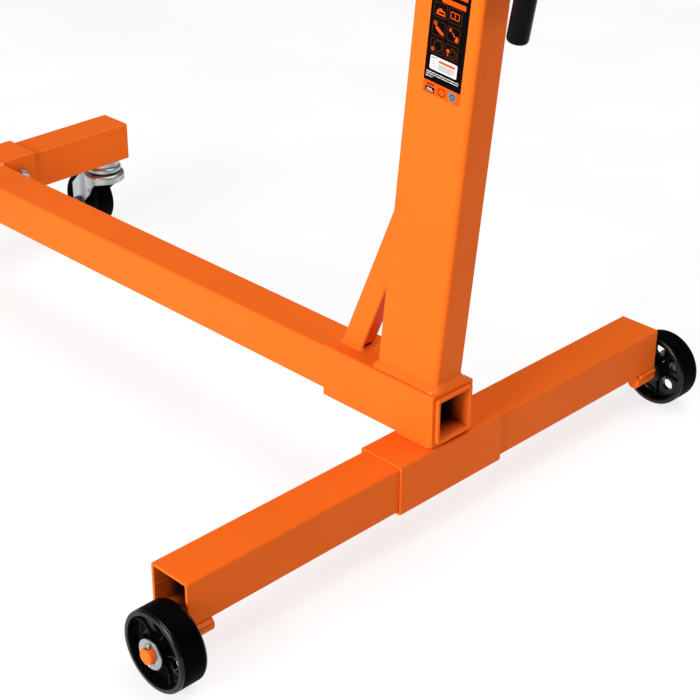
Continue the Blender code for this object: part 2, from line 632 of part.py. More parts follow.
def arm_shape():
    """An arm in its clamp's axes: +X outwards, +Z forward, on the plate's front face."""
    half = ARM_WIDTH / 2
    outline = [(-ARM_TAIL, half - 3 * MM), (-ARM_TAIL, 3 * MM - half)]
    outline += [(3 * MM - ARM_TAIL, -half)] + arc((ARM_REACH, 0), half, -90, 90, 10)
    outline += [(3 * MM - ARM_TAIL, half)]
    radius = CLAMP_RADIUS + 0.5 * MM
    slot = arc((0, 0), radius, -90, 90, 6) + arc((-ARM_TRAVEL, 0), radius, 90, 270, 6)
    bar = prism(outline, GAP, GAP + ARM_THICKNESS, [slot])
    tube = turned([(ARM_TUBE_RADIUS, GAP), (ARM_TUBE_RADIUS, GAP + ARM_TUBE_LENGTH)], 24)
    tube.transform(at(ARM_REACH, 0, 0))
    return drilled(combine(bar, tube, "UNION"), ARM_TUBE_BORE, 0.2, at(ARM_REACH, 0, 0))


def build_arms(paint, zinc, head):
    arm = arm_shape()
    clamp_bolt = bolt(19 * MM, 7.5 * MM, CLAMP_RADIUS, PLATE_THICKNESS + ARM_THICKNESS + 16 * MM)
    clamp_nut = nut(19 * MM, 11 * MM, CLAMP_RADIUS + GAP, flange=13 * MM)
    for name, (side, end) in ARM_SIDES.items():
        outwards = Vector((side, 0, end)).normalized()
        forward = Vector((0, 1, 0))
        across = forward.cross(outwards)
        turn = Matrix((outwards, across, forward)).transposed().to_4x4()
        clamp = joint_empty(
            f"clamp_{name}_axis", at(side * CLAMP_OFFSET, PLATE_FRONT, end * CLAMP_OFFSET) @ turn, head)
        place(f"clamp_bolt_{name}", clamp_bolt, zinc, at(0, 0, -PLATE_THICKNESS - GAP), clamp)
        place(f"clamp_nut_{name}", clamp_nut, zinc, at(0, 0, ARM_THICKNESS + 2 * GAP), clamp)
        slide = joint_empty(f"arm_{name}_axis", at(0, 0, 0), clamp)
        place(f"mounting_arm_{name}", arm, paint, at(0, 0, 0), slide)


def build_handle(zinc, rubber, head):
    """The bar with its two grips, in axes whose +Z runs up the handle."""
    turn = Matrix.Rotation(HANDLE_LEAN, 4, "X")
    handle = joint_empty("handle_axis", at(0, HANDLE_FORWARD, 0, turn), head)
    bar_low = GRIP_LOW + GRIP_CAP + GAP
    bar_high = GRIP_REST + GRIP_LENGTH - GRIP_CAP - GAP
    bar = turned([(HANDLE_RADIUS, bar_low), (HANDLE_RADIUS, bar_high)], 16)
    place("handle_bar", bar, zinc, at(0, 0, 0), handle)
    bore = HANDLE_RADIUS + GAP
    floor = GRIP_LENGTH - GRIP_CAP
    # The grip's closed end has a small vent, so that the cup it makes isn't sealed.
    grip = turned([
        (bore, 0), (GRIP_RADIUS - 0.5 * MM, 0), (GRIP_RADIUS, 0.8 * MM),
        (GRIP_RADIUS, GRIP_LENGTH - 3.5 * MM), (GRIP_RADIUS - 1.2 * MM, GRIP_LENGTH - 1 * MM),
        (GRIP_RADIUS - 4 * MM, GRIP_LENGTH), (1.5 * MM, GRIP_LENGTH), (1.5 * MM, floor), (bore, floor),
    ], 16, hollow=True)
    place("handle_grip_upper", grip, rubber, at(0, 0, GRIP_REST), handle)
    flipped = Matrix.Rotation(math.pi, 4, "X")
    place("handle_grip_lower", grip, rubber, at(0, 0, GRIP_LOW + GRIP_LENGTH) @ flipped, handle)


def build_head(paint, zinc, rubber, head_frame):
    head = joint_empty("head_axis", head_frame)
    shaft = pipe(SHAFT_RADIUS, SHAFT_BORE, SHAFT_REAR, PLATE_REAR - GAP, 40)
    shaft.transform(ALONG_Y)
    cross = at(0, HANDLE_FORWARD, 0, Matrix.Rotation(HANDLE_LEAN, 4, "X"))
    shaft = drilled(shaft, HANDLE_RADIUS + GAP, 0.2, cross)
    place("head_shaft", shaft, paint, at(0, 0, 0), head)
    place("mount_plate", mount_plate_shape(), paint, at(0, 0, 0, ALONG_Y), head)
    collar = pipe(COLLAR_RADIUS, SHAFT_RADIUS + GAP, COLLAR_REAR, HEAD_TUBE_REAR - 0.5 * MM, 32)
    place("shaft_collar", collar, paint, at(0, 0, 0, ALONG_Y), head)
    build_arms(paint, zinc, head)
    build_handle(zinc, rubber, head)


def main():
    for item in list(bpy.data.objects):
        bpy.data.objects.remove(item)
    paint = principled("orange_paint", (0.83, 0.19, 0.03), 0.38, 0.0)
    zinc = principled("zinc_plate", (0.62, 0.62, 0.6), 0.28, 1.0)
    steel = principled("dark_steel", (0.3, 0.3, 0.3), 0.4, 1.0)
    black = principled("black_wheel", (0.015, 0.015, 0.016), 0.3, 0.0)
    rubber = principled("black_rubber", (0.02, 0.02, 0.02), 0.6, 0.0)

    build_base(paint, zinc)
    build_rear_wheels(paint, zinc, black)
    build_casters(zinc, black, steel)
    head_frame = build_post(paint, leaning(POST_Y, FOOT_Z, POST_LEAN))
    build_lock_pin(zinc, rubber, head_frame)
    build_head(paint, zinc, rubber, head_frame)


main()
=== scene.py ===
"""Looks for the engine stand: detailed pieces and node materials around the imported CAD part."""

import json
import math

import bmesh
import bpy
from mathutils import Matrix, Vector, noise


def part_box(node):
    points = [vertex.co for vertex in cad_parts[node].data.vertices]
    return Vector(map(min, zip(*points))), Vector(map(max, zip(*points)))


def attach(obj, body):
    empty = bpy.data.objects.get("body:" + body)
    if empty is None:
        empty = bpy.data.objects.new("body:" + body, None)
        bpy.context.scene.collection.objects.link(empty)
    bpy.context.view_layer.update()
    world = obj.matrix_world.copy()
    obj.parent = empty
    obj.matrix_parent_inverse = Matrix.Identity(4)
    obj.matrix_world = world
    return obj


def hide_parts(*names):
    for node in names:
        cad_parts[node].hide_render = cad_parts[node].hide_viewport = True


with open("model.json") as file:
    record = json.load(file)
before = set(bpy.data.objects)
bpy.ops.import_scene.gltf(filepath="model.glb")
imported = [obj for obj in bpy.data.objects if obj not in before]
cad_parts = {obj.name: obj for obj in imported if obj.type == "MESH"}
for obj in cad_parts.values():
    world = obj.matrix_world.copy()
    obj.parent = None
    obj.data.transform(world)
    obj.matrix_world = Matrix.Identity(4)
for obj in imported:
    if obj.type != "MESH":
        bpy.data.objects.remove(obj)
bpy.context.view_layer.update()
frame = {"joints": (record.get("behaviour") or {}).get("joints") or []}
scene = bpy.context.scene

MM = 0.001
GAP = 0.3 * MM
ALONG_X = Matrix.Rotation(math.pi / 2, 4, "Y")      # turns a piece's +Z to +X
ALONG_Y = Matrix.Rotation(-math.pi / 2, 4, "X")
BACK_ALONG_X = Matrix.Rotation(-math.pi / 2, 4, "Y")
BACK_ALONG_Y = Matrix.Rotation(math.pi / 2, 4, "X")
SIDES = (("left", -1), ("right", 1))


# ---------------------------------------------------------------- node materials

class Look:
    """A node material for one surface, in object coordinates and metres."""

    def __init__(self, name, metallic=0.0, **uniform):
        self.material = bpy.data.materials.new(name)
        self.material.use_nodes = True
        self.tree = self.material.node_tree
        self.shader = self.tree.nodes["Principled BSDF"]
        self.shader.inputs["Metallic"].default_value = metallic
        for socket, value in uniform.items():
            self.shader.inputs[socket.replace("_", " ")].default_value = value
        self.coords = self.tree.nodes.new("ShaderNodeTexCoord").outputs["Object"]
        self.height = None

    def link(self, source, target):
        self.tree.links.new(source, target)

    def stretched(self, scale):
        mapping = self.tree.nodes.new("ShaderNodeMapping")
        mapping.inputs["Scale"].default_value = scale
        self.link(self.coords, mapping.inputs["Vector"])
        return mapping.outputs["Vector"]

    def noise(self, scale, detail=2.0, stretch=None, distortion=0.0):
        node = self.tree.nodes.new("ShaderNodeTexNoise")
        node.inputs["Scale"].default_value = scale
        node.inputs["Detail"].default_value = detail
        node.inputs["Distortion"].default_value = distortion
        self.link(self.stretched(stretch) if stretch else self.coords, node.inputs["Vector"])
        return node.outputs["Fac"]

    def split(self, axis):
        node = self.tree.nodes.new("ShaderNodeSeparateXYZ")
        self.link(self.coords, node.inputs[0])
        return node.outputs[axis]

    def cells(self, scale):
        node = self.tree.nodes.new("ShaderNodeTexVoronoi")
        node.inputs["Scale"].default_value = scale
        self.link(self.coords, node.inputs["Vector"])
        return node.outputs["Distance"]

    def ramp(self, source, stops):
        node = self.tree.nodes.new("ShaderNodeValToRGB")
        ramp = node.color_ramp
        while len(ramp.elements) < len(stops):
            ramp.elements.new(0.5)
        for element, (place, colour) in zip(ramp.elements, stops):
            element.position = place
            element.color = (*colour, 1)
        self.link(source, node.inputs["Fac"])
        return node.outputs["Color"]

    def span(self, source, low, high, source_low=0.3, source_high=0.7):
        node = self.tree.nodes.new("ShaderNodeMapRange")
        limits = {"From Min": source_low, "From Max": source_high, "To Min": low, "To Max": high}
        for socket, value in limits.items():
            node.inputs[socket].default_value = value
        self.link(source, node.inputs["Value"])
        return node.outputs["Result"]

    def mix(self, factor, first, second, blend="MIX"):
        node = self.tree.nodes.new("ShaderNodeMix")
        node.data_type = "RGBA"
        node.blend_type = blend
        if isinstance(factor, float):
            node.inputs[0].default_value = factor
        else:
            self.link(factor, node.inputs[0])
        for socket, value in ((node.inputs[6], first), (node.inputs[7], second)):
            if isinstance(value, tuple):
                socket.default_value = (*value, 1)
            else:
                self.link(value, socket)
        return node.outputs[2]

    def colour(self, source):
        self.link(source, self.shader.inputs["Base Color"])
        return self

    def roughness(self, source):
        self.link(source, self.shader.inputs["Roughness"])
        return self

    def bump(self, source, depth, strength=1.0):
        """Adds a layer of relief; depth is in metres."""
        node = self.tree.nodes.new("ShaderNodeBump")
        node.inputs["Distance"].default_value = depth
        node.inputs["Strength"].default_value = strength
        self.link(source, node.inputs["Height"])
        if self.height:
            self.link(self.height, node.inputs["Normal"])
        self.height = node.outputs["Normal"]
        self.link(self.height, self.shader.inputs["Normal"])
        if "Coat Normal" in self.shader.inputs:
            self.link(self.height, self.shader.inputs["Coat Normal"])
        return self


def scaled(colour, factor):
    return tuple(min(1.0, channel * factor) for channel in colour)


def powder_coat(name, base, gloss=0.0):
    """Powder coat: slight tone changes, orange peel, and a clear shine where it is glossy."""
    look = Look(
        name, Coat_Weight=gloss, Coat_Roughness=0.14, Specular_IOR_Level=0.045,
        Specular_Tint=(1, 0.42, 0.14, 1))
    tone = look.ramp(look.noise(7, 3), [(0.35, scaled(base, 0.97)), (0.65, scaled(base, 1.03))])
    fine = look.ramp(look.noise(900, 2), [(0.3, (0.94, 0.93, 0.92)), (0.7, (1, 1, 1))])
    look.colour(look.mix(0.5, tone, fine, "MULTIPLY"))
    look.roughness(look.span(look.noise(30, 4), 0.3, 0.4))
    look.bump(look.noise(420, 2), 0.05 * MM, 0.25)
    return look.bump(look.cells(160), 0.02 * MM, 0.1).material


def inside_painted_shade(name, base, axis, near, far):
    """Painted light on a tube's inner faces: brighter than the paint at the mouth, then painted shade that
    turns near black deeper in.
    """
    look = Look(name, Specular_IOR_Level=0.2, Specular_Tint=(1, 0.62, 0.36, 1))
    distance = look.tree.nodes.new("ShaderNodeMath")
    distance.operation = "ABSOLUTE"
    look.link(look.split(axis), distance.inputs[0])
    depth = look.span(distance.outputs[0], 0.0, 1.0, near, far)
    patchy = look.mix(0.12, depth, look.noise(60, 4))
    # Painted highlight at the mouth (1.3 times the paint), then painted shade down to near black.
    look.colour(look.ramp(patchy, [
        (0.0, scaled(base, 1.3)), (0.35, scaled(base, 0.9)),
        (0.6, (0.08, 0.013, 0.004)), (0.9, (0.003, 0.002, 0.002))]))
    look.roughness(look.span(look.noise(120, 3), 0.5, 0.75))
    return look.bump(look.noise(300, 3), 0.06 * MM, 0.3).material


def zinc_plating(name, base, low, high, streaks=0.0):
    """Bright zinc: faint clouds, and soft upright streaks where the sheet was drawn."""
    look = Look(name, metallic=1.0)
    bluish = (base[0] * 1.03, base[1] * 1.03, base[2] * 1.06)
    cloudy = look.ramp(look.noise(60, 3, distortion=0.4), [
        (0.3, scaled(base, 0.92)), (0.5, base), (0.72, bluish)])
    if streaks:
        bands = look.ramp(look.noise(70, 1, stretch=(1, 1, 0.05)), [
            (0.34, scaled((1, 1, 1), 1 - streaks)), (0.62, (1, 1, 1))])
        cloudy = look.mix(1.0, cloudy, bands, "MULTIPLY")
    look.colour(cloudy)
    look.roughness(look.span(look.noise(120, 3), low, high))
    look.bump(look.noise(700, 3, stretch=(1, 1, 6)), 0.008 * MM, 0.2)
    return look.bump(look.noise(50, 2), 0.12 * MM, 0.08).material


def cast_enamel(name):
    """Gloss black enamel over a casting."""
    look = Look(name, Coat_Weight=0.42, Coat_Roughness=0.06, Specular_IOR_Level=0.06)
    look.colour(look.ramp(look.noise(40, 4), [
        (0.35, (0.0012, 0.0012, 0.0015)), (0.7, (0.0035, 0.0035, 0.0035))]))
    look.roughness(look.span(look.noise(140, 4), 0.24, 0.36))
    look.bump(look.noise(90, 3), 0.6 * MM, 0.4)
    return look.bump(look.noise(900, 2), 0.02 * MM, 0.2).material


def tread_enamel(name):
    """The wheel's running face: the same black, dulled, with turning marks round it."""
    look = Look(name, Specular_IOR_Level=0.008)
    look.colour(look.ramp(look.noise(26, 5), [
        (0.3, (0.0008, 0.0008, 0.0008)), (0.75, (0.0026, 0.0024, 0.0022))]))
    look.roughness(look.span(look.noise(60, 4), 0.42, 0.58))
    look.bump(look.noise(700, 2, stretch=(1, 0.02, 0.02)), 0.03 * MM, 0.4)
    return look.bump(look.noise(160, 3), 0.1 * MM, 0.2).material


def moulded(name, base, grain, low=0.45, high=0.6, shine=0.36):
    """Moulded rubber or plastic with a fine grain."""
    look = Look(name, Specular_IOR_Level=shine)
    look.colour(look.ramp(look.noise(45, 4), [(0.3, scaled(base, 0.75)), (0.7, scaled(base, 1.3))]))
    look.roughness(look.span(look.noise(120, 3), low, high))
    look.bump(look.cells(grain), 0.03 * MM, 0.2)
    return look.bump(look.noise(grain / 3, 3), 0.04 * MM, 0.12).material


def print_ink(name, base, low=0.28, high=0.42):
    """Printing on the glossy sticker."""
    look = Look(name, Specular_IOR_Level=0.015)
    look.colour(look.ramp(look.noise(400, 3), [(0.3, scaled(base, 0.9)), (0.7, scaled(base, 1.06))]))
    look.roughness(look.span(look.noise(180, 3), low, high))
    return look.bump(look.noise(260, 2), 0.02 * MM, 0.25).material


PAINT = (0.81, 0.133, 0.012)
ORANGE = powder_coat("orange_powder_coat", PAINT)
WELD = powder_coat("painted_weld", PAINT, 0.6)
INSIDE_PAINTED_SHADE = {                                          # axis, then where the inside shows the full paint and where its painted shade is darkest
    "rear_cross_tube": inside_painted_shade("painted_shade_rear_tube", PAINT, 0, 0.344, 0.306),
    "centre_beam": inside_painted_shade("painted_shade_centre_beam", PAINT, 1, 0.390, 0.352),
    "front_cross_tube": inside_painted_shade("painted_shade_front_tube", PAINT, 0, 0.226, 0.180),
}
ZINC = zinc_plating("zinc_plating", (0.5, 0.52, 0.53), 0.26, 0.42, 0.2)
STAMPED = zinc_plating("stamped_zinc", (0.58, 0.61, 0.61), 0.3, 0.42, 0.42)
STEEL = zinc_plating("oily_steel", (0.16, 0.16, 0.17), 0.3, 0.48)
ENAMEL = cast_enamel("black_enamel")
TREAD = tread_enamel("black_tread")
TYRE = moulded("caster_tyre", (0.0014, 0.0014, 0.0014), 500, 0.25, 0.36, 0.015)
GRIP = moulded("grip_rubber", (0.0014, 0.0014, 0.0014), 900, 0.16, 0.22, 0.07)
INK_BLACK = print_ink("ink_black", (0.0022, 0.0016, 0.0016), 0.2, 0.3)
INK_ORANGE = print_ink("ink_orange", (0.66, 0.075, 0.004))
INK_DIM = print_ink("ink_dim_orange", (0.085, 0.02, 0.008))
INK_WHITE = print_ink("ink_white", (0.56, 0.56, 0.55))
INK_GREY = print_ink("ink_grey", (0.16, 0.16, 0.16))


# --------------------------------------------------------------------- mesh tools

def mm(points):
    """Points given in millimetres, in metres."""
    return [tuple(value * MM for value in point) for point in points]


def arc(centre, radius, start, stop, steps):
    """Points on an arc; the angles are in degrees."""
    angles = [math.radians(start + (stop - start) * step / steps) for step in range(steps + 1)]
    return [(centre[0] + radius * math.cos(a), centre[1] + radius * math.sin(a)) for a in angles]


def circle(radius, steps, centre=(0, 0)):
    return arc(centre, radius, 0, 360, steps)[:-1]


def rounded(width, depth, radius, steps=6):
    """Outline of a rectangle with round corners, centred on the origin."""
    points = []
    for corner, (side, end) in enumerate(((1, 1), (-1, 1), (-1, -1), (1, -1))):
        middle = (side * (width / 2 - radius), end * (depth / 2 - radius))
        points += arc(middle, radius, 90 * corner, 90 * corner + 90, steps)
    return points


def ring(radius, height, steps):
    return [(x, y, height) for x, y in circle(radius, steps)]


def to_mesh(bm, turn=None):
    bmesh.ops.recalc_face_normals(bm, faces=bm.faces[:])
    mesh = bpy.data.meshes.new("shape")
    bm.to_mesh(mesh)
    bm.free()
    if turn:
        mesh.transform(turn)
    return mesh


def loft(rings, hollow=False, turn=None, settle=False):
    """A closed solid through rings of points. A hollow one joins its last ring to its first,
    at the closest offset if it is to settle."""
    bm = bmesh.new()
    loops = [[bm.verts.new(point) for point in points] for points in rings]
    pairs = list(zip(loops, loops[1:]))
    if hollow:
        first, count = loops[0], len(loops[0])
        if settle:
            gaps = [
                sum((vert.co - first[(place + offset) % count].co).length
                    for place, vert in enumerate(loops[-1]))
                for offset in range(count)]
            best = gaps.index(min(gaps))
            first = first[best:] + first[:best]
        pairs.append((loops[-1], first))
    else:
        bm.faces.new(loops[0])
        bm.faces.new(loops[-1])
    for lower, upper in pairs:
        for index, corner in enumerate(lower):
            after = (index + 1) % len(lower)
            bm.faces.new((corner, lower[after], upper[after], upper[index]))
    return to_mesh(bm, turn)


def turned(profile, steps=64, hollow=False, turn=None):
    """A turned piece from (radius, height) points."""
    return loft([ring(radius, height, steps) for radius, height in profile], hollow, turn)


def prism(outline, start, end, holes=(), turn=None):
    """A solid along Z with an outline and holes; an end is a height or a function of x, y."""
    bm = bmesh.new()
    for loop in (outline, *holes):
        verts = [bm.verts.new((x, y, 0)) for x, y in loop]
        for first, second in zip(verts, verts[1:] + verts[:1]):
            bm.edges.new((first, second))
    bmesh.ops.triangle_fill(bm, edges=bm.edges[:], use_beauty=True)
    lifted = bmesh.ops.extrude_face_region(bm, geom=bm.faces[:])["geom"]
    upper = {item for item in lifted if isinstance(item, bmesh.types.BMVert)}
    for vert in bm.verts:
        height = end if vert in upper else start
        vert.co.z = height(vert.co.x, vert.co.y) if callable(height) else height
    return to_mesh(bm, turn)


def merged(meshes):
    """One mesh out of several, which keep their own places."""
    bm = bmesh.new()
    for mesh in meshes:
        bm.from_mesh(mesh)
    return to_mesh(bm)


def combine(mesh, tool, operation="DIFFERENCE"):
    base = bpy.data.objects.new("base", mesh)
    other = bpy.data.objects.new("tool", tool)
    for item in (base, other):
        scene.collection.objects.link(item)
    step = base.modifiers.new("boolean", "BOOLEAN")
    step.operation = operation
    step.solver = "EXACT"
    step.object = other
    graph = bpy.context.evaluated_depsgraph_get()
    result = bpy.data.meshes.new_from_object(base.evaluated_get(graph))
    for item in (base, other):
        bpy.data.objects.remove(item)
    return result


def drilled(mesh, radius, length, place, steps=48):
    return combine(mesh, turned([(radius, -length / 2), (radius, length / 2)], steps, turn=place))


def piece(name, mesh, look, body="base", node=None, bevel=0.0, angle=32):
    """An object for one piece, riding on a body. A bevel rounds its hard edges."""
    looks = look if isinstance(look, tuple) else (look,)
    for item in looks:
        mesh.materials.append(item)
    mesh.shade_smooth()
    obj = bpy.data.objects.new(name, mesh)
    scene.collection.objects.link(obj)
    if bevel:
        step = obj.modifiers.new("edges", "BEVEL")
        step.width = bevel
        step.segments = 2
        step.limit_method = "ANGLE"
        step.angle_limit = math.radians(angle)
        step.use_clamp_overlap = False
        step.miter_outer = "MITER_SHARP"
    else:
        mesh.set_sharp_from_angle(angle=math.radians(angle))
    normals = obj.modifiers.new("normals", "WEIGHTED_NORMAL")
    normals.keep_sharp = not bevel
    normals.weight = 60
    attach(obj, body)
    if node:
        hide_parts(node)


def stand_in(node, suffix, mesh, look, body="base", **options):
    """The piece that is shown in place of a CAD node."""
    piece(f"{node}_{suffix}", mesh, look, body, node, **options)


def at(x, y, z, turn=None):
    shift = Matrix.Translation((x, y, z))
    return shift @ turn if turn else shift


def frame_of(origin, along_x, along_y, along_z):
    matrix = Matrix((along_x, along_y, along_z)).transposed().to_4x4()
    matrix.translation = origin
    return matrix


def middle(node):
    low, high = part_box(node)
    return (low + high) / 2


# ---------------------------------------------------------------------- hardware

def hex_ring(across_flats, height, limit=1.0, steps=48):
    """A ring on a hexagon, cut down to a radius where the limit is smaller."""
    points = []
    for step in range(steps):
        angle = 2 * math.pi * step / steps
        wedge = (angle + math.pi / 6) % (math.pi / 3) - math.pi / 6
        radius = min(across_flats / 2 / math.cos(wedge), limit)
        points.append((radius * math.cos(angle), radius * math.sin(angle), height))
    return points


def hex_rings(across_flats, low, high, chamfer_low=False, chamfer_high=True):
    """A hexagon whose corners are turned off to the usual cone at its ends."""
    slope = math.tan(math.radians(30))
    face = across_flats * 0.475
    corner = across_flats / math.sqrt(3)
    cuts = [(corner - face) * share for share in (0, 0.12, 0.3, 0.55, 0.8, 1)]
    bottom, top = [hex_ring(across_flats, low)], [hex_ring(across_flats, high)]
    if chamfer_low:
        bottom = [hex_ring(across_flats, low + cut * slope, face + cut) for cut in cuts]
    if chamfer_high:
        top = [hex_ring(across_flats, high - cut * slope, face + cut) for cut in reversed(cuts)]
    return bottom + top


def thread_rings(radius, low, high):
    """A right-hand thread between two heights, with a bevelled tip."""
    pitch, depth, steps = 1.5 * MM, 0.75 * MM, 48
    rings = []
    count = max(2, round((high - low) / (pitch / 4)))
    for index in range(count + 1):
        height = low + (high - low) * index / count
        points = []
        for step in range(steps):
            angle = 2 * math.pi * step / steps
            phase = (height / pitch - step / steps) % 1.0
            groove = abs(phase - 0.5) * 2
            run_out = min(1.0, (height - low) / pitch)
            here = radius - depth * (1 - groove) * run_out
            here = min(here, radius - depth * 0.9 + max(0.0, high - height))
            points.append((here * math.cos(angle), here * math.sin(angle), height))
        rings.append(points)
    return rings


def bolt_mesh(across_flats, head, radius, grip, length, washer=None, washer_thickness=0.0, turn=None):
    """A hex bolt: its head or washer ends at Z = 0, and its thread starts at the grip length."""
    seat = -washer_thickness
    rings = hex_rings(across_flats, seat - head, seat, chamfer_low=True, chamfer_high=False)
    if washer:
        rings += [ring(washer, seat, 48), ring(washer, 0, 48)]
    rings += [ring(radius, 0, 48), ring(radius, grip, 48)]
    rings += thread_rings(radius, grip, length)
    return loft(rings, turn=turn)


def nut_mesh(across_flats, height, bore, flange=None, insert=0.0, turn=None):
    """A hex nut from Z = 0 up, with a flange or a nylon ring where it has one."""
    rings = [ring(bore, 0, 48)]
    if flange:
        rings += [ring(flange - 0.4 * MM, 0, 48), ring(flange, 0.5 * MM, 48), ring(flange, 1.4 * MM, 48)]
        rings += [ring(flange - 0.8 * MM, 2 * MM, 48)]
        rings += [hex_ring(across_flats, 2.6 * MM)] + hex_rings(across_flats, 2.6 * MM, height - insert)[1:]
    else:
        rings += hex_rings(across_flats, 0, height - insert, chamfer_low=True)
    if insert:
        collar = across_flats * 0.44
        rings += [ring(collar, height - insert, 48), ring(collar, height - 0.6 * MM, 48)]
        rings += [ring(collar - 0.7 * MM, height, 48)]
    rings += [ring(bore + 0.6 * MM, height, 48), ring(bore, height - 0.6 * MM, 48)]
    return loft(rings, hollow=True, turn=turn)


def weld_bead(points, radius, closed, seed):
    """A rippled bead along a line of points, half sunk in the corner that it fills."""
    spacing, ripple, sides = 0.9 * MM, 2.6 * MM, 12

    def beside(items, index):
        """The items before and after one; a closed line wraps round."""
        last = len(items) - 1
        before = items[index - 1] if index or closed else items[index]
        after = items[(index + 1) % len(items)] if closed else items[min(index + 1, last)]
        return before, after

    path = [Vector(p) for p in points]
    if closed:
        path.append(path[0])
    spans = [(b - a).length for a, b in zip(path, path[1:])]
    total = sum(spans)
    count = max(6, round(total / spacing))
    samples = []
    for index in range(count if closed else count + 1):
        distance = total * index / count
        travelled = distance
        for number, span in enumerate(spans):
            if travelled <= span or number == len(spans) - 1:
                share = min(1.0, travelled / span)
                samples.append((path[number].lerp(path[number + 1], share), distance))
                break
            travelled -= span
    places = [place for place, _ in samples]
    smooth = []
    for index, place in enumerate(places):
        before, after = beside(places, index)
        smooth.append((before + place * 2 + after) / 4)
    rings = []
    normal = None
    for index, place in enumerate(smooth):
        before, after = beside(smooth, index)
        tangent = (after - before).normalized()
        if normal is None:
            normal = tangent.orthogonal()
        normal = (normal - tangent * normal.dot(tangent)).normalized()
        across = tangent.cross(normal)
        distance = samples[index][1]
        wander = noise.noise(Vector((distance * 160, seed, 0)))
        swell = 1 + 0.10 * wander
        if not closed:
            reach = min(distance, total - distance) / (1.4 * radius)
            swell *= math.sqrt(max(0.06, 1 - max(0.0, 1 - reach) ** 2))
        points_here = []
        for step in range(sides):
            angle = 2 * math.pi * step / sides
            phase = (distance / ripple + 0.2 * math.cos(angle + seed) + 0.15 * wander) % 1.0
            here = radius * swell * (1 + 0.07 * (0.5 - phase))
            points_here.append(place + (normal * math.cos(angle) + across * math.sin(angle)) * here)
        rings.append(points_here)
    # The frame has turned a little by the time a closed bead comes round, so its end settles.
    return loft(rings, hollow=closed, settle=closed)


def weld(name, lines, radius, body="base", closed=False):
    """Beads along several lines, as one piece."""
    beads = [weld_bead(points, radius, closed, 3.7 * index + len(name)) for index, points in enumerate(lines)]
    piece(name, merged(beads), WELD, body, angle=60)


# ------------------------------------------------------------------ square tubing

def tube_rings(size, bore, corner, inner_corner, start, end, depth=None, bore_depth=None):
    """Rings of a hollow rectangular tube with softened cut ends; ends may be mitred."""
    edge = 0.5 * MM
    depth = depth or size
    bore_depth = bore_depth or bore

    def level(outline, height, inward):
        if callable(height):
            return [(x, y, height(x, y) + inward) for x, y in outline]
        return [(x, y, height + inward) for x, y in outline]

    def outer(inset):
        return rounded(size - 2 * inset, depth - 2 * inset, corner - inset)

    def inner(inset):
        return rounded(bore + 2 * inset, bore_depth + 2 * inset, inner_corner + inset)

    return [
        level(outer(0), start, edge), level(outer(0), end, -edge),
        level(outer(0.3 * edge), end, -0.3 * edge), level(outer(edge), end, 0),
        level(inner(0.6 * edge), end, 0), level(inner(0), end, -0.6 * edge),
        level(inner(0), start, 0.6 * edge), level(inner(0.6 * edge), start, 0),
        level(outer(edge), start, 0), level(outer(0.3 * edge), start, 0.3 * edge),
    ]


def seam_strip(bore, start, end):
    """The low ridge of a tube's own welded seam, on one inner face."""
    half = 0.9 * MM
    section = ((-half, 0.4), (-half * 0.6, -0.35), (0, -0.5), (half * 0.6, -0.35), (half, 0.4))
    return loft([
        [(x, bore / 2 + rise * MM, height) for x, rise in section]
        for height in (start + 0.5 * MM, end - 0.5 * MM)])


TUBE, TUBE_WALL, TUBE_CORNER, TUBE_INNER_CORNER = 50 * MM, 3 * MM, 2.5 * MM, 1 * MM
SLEEVE_BORE = TUBE + 2 * GAP


def square_tube(node, axis_turn, sleeve=False):
    """The detailed tube or sleeve for a CAD node that lies along an axis."""
    low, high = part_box(node)
    length = (high - low)[0 if axis_turn is ALONG_X else 1]
    size = high.z - low.z
    bore = SLEEVE_BORE if sleeve else size - 2 * TUBE_WALL
    inner_corner = TUBE_CORNER if sleeve else TUBE_INNER_CORNER
    rings = tube_rings(size, bore, TUBE_CORNER, inner_corner, -length / 2, length / 2)
    parts = [loft(rings, hollow=True)]
    if not sleeve:
        parts.append(seam_strip(bore, -length / 2, length / 2))
    mesh = merged(parts)
    # The inner faces carry the painted shade of the tube's inside.
    look = (ORANGE, INSIDE_PAINTED_SHADE[node]) if node in INSIDE_PAINTED_SHADE else ORANGE
    for polygon in mesh.polygons:
        centre = polygon.center
        inner_face = max(abs(centre.x), abs(centre.y)) < bore / 2 + 0.25 * MM
        polygon.material_index = 1 if node in INSIDE_PAINTED_SHADE and inner_face else 0
    mesh.transform(at(*middle(node), axis_turn))
    stand_in(node, "body", mesh, look, angle=40)


square_tube("rear_cross_tube", ALONG_X)
square_tube("front_cross_tube", ALONG_X)
square_tube("centre_beam", ALONG_Y)
square_tube("rear_cross_sleeve", ALONG_X, sleeve=True)
square_tube("front_cross_sleeve", ALONG_X, sleeve=True)
square_tube("centre_sleeve", ALONG_Y, sleeve=True)

# Frames that follow from the record's joints
joints = {joint["name"]: joint for joint in frame["joints"]}
across = Vector((1, 0, 0))
head_place = Vector(joints["head_turn"]["pos_m"])
forward = Vector(joints["head_turn"]["axis"]).normalized()
upward = across.cross(forward)
head_frame = frame_of(head_place, across, forward, upward)
sleeve_low, sleeve_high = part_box("centre_sleeve")
foot_z = sleeve_high.z + GAP
HEAD_UP = (head_place.z - foot_z) / upward.z
post_frame = frame_of(head_place - upward * HEAD_UP, across, forward, upward)
POST_LEAN = math.atan2(forward.z, forward.y)

POST_WIDTH, POST_DEPTH, POST_WALL, POST_CORNER = 40 * MM, 80 * MM, 3 * MM, 5 * MM
HEAD_TUBE_RADIUS, HEAD_TUBE_BORE = 35 * MM, 30 * MM
BRACE_WIDTH, BRACE_DEPTH, BRACE_WALL, BRACE_CORNER = 20 * MM, 26 * MM, 2 * MM, 2.5 * MM
BRACE_LEAN = math.radians(22.6)
# Along the head's axis and up from it
COLLAR_REAR, GUSSET_LOW, GUSSET_FRONT = -66 * MM, -100 * MM, 78 * MM
PIN_UP = 46.3 * MM                                  # the lock pin, and the circle of holes for it


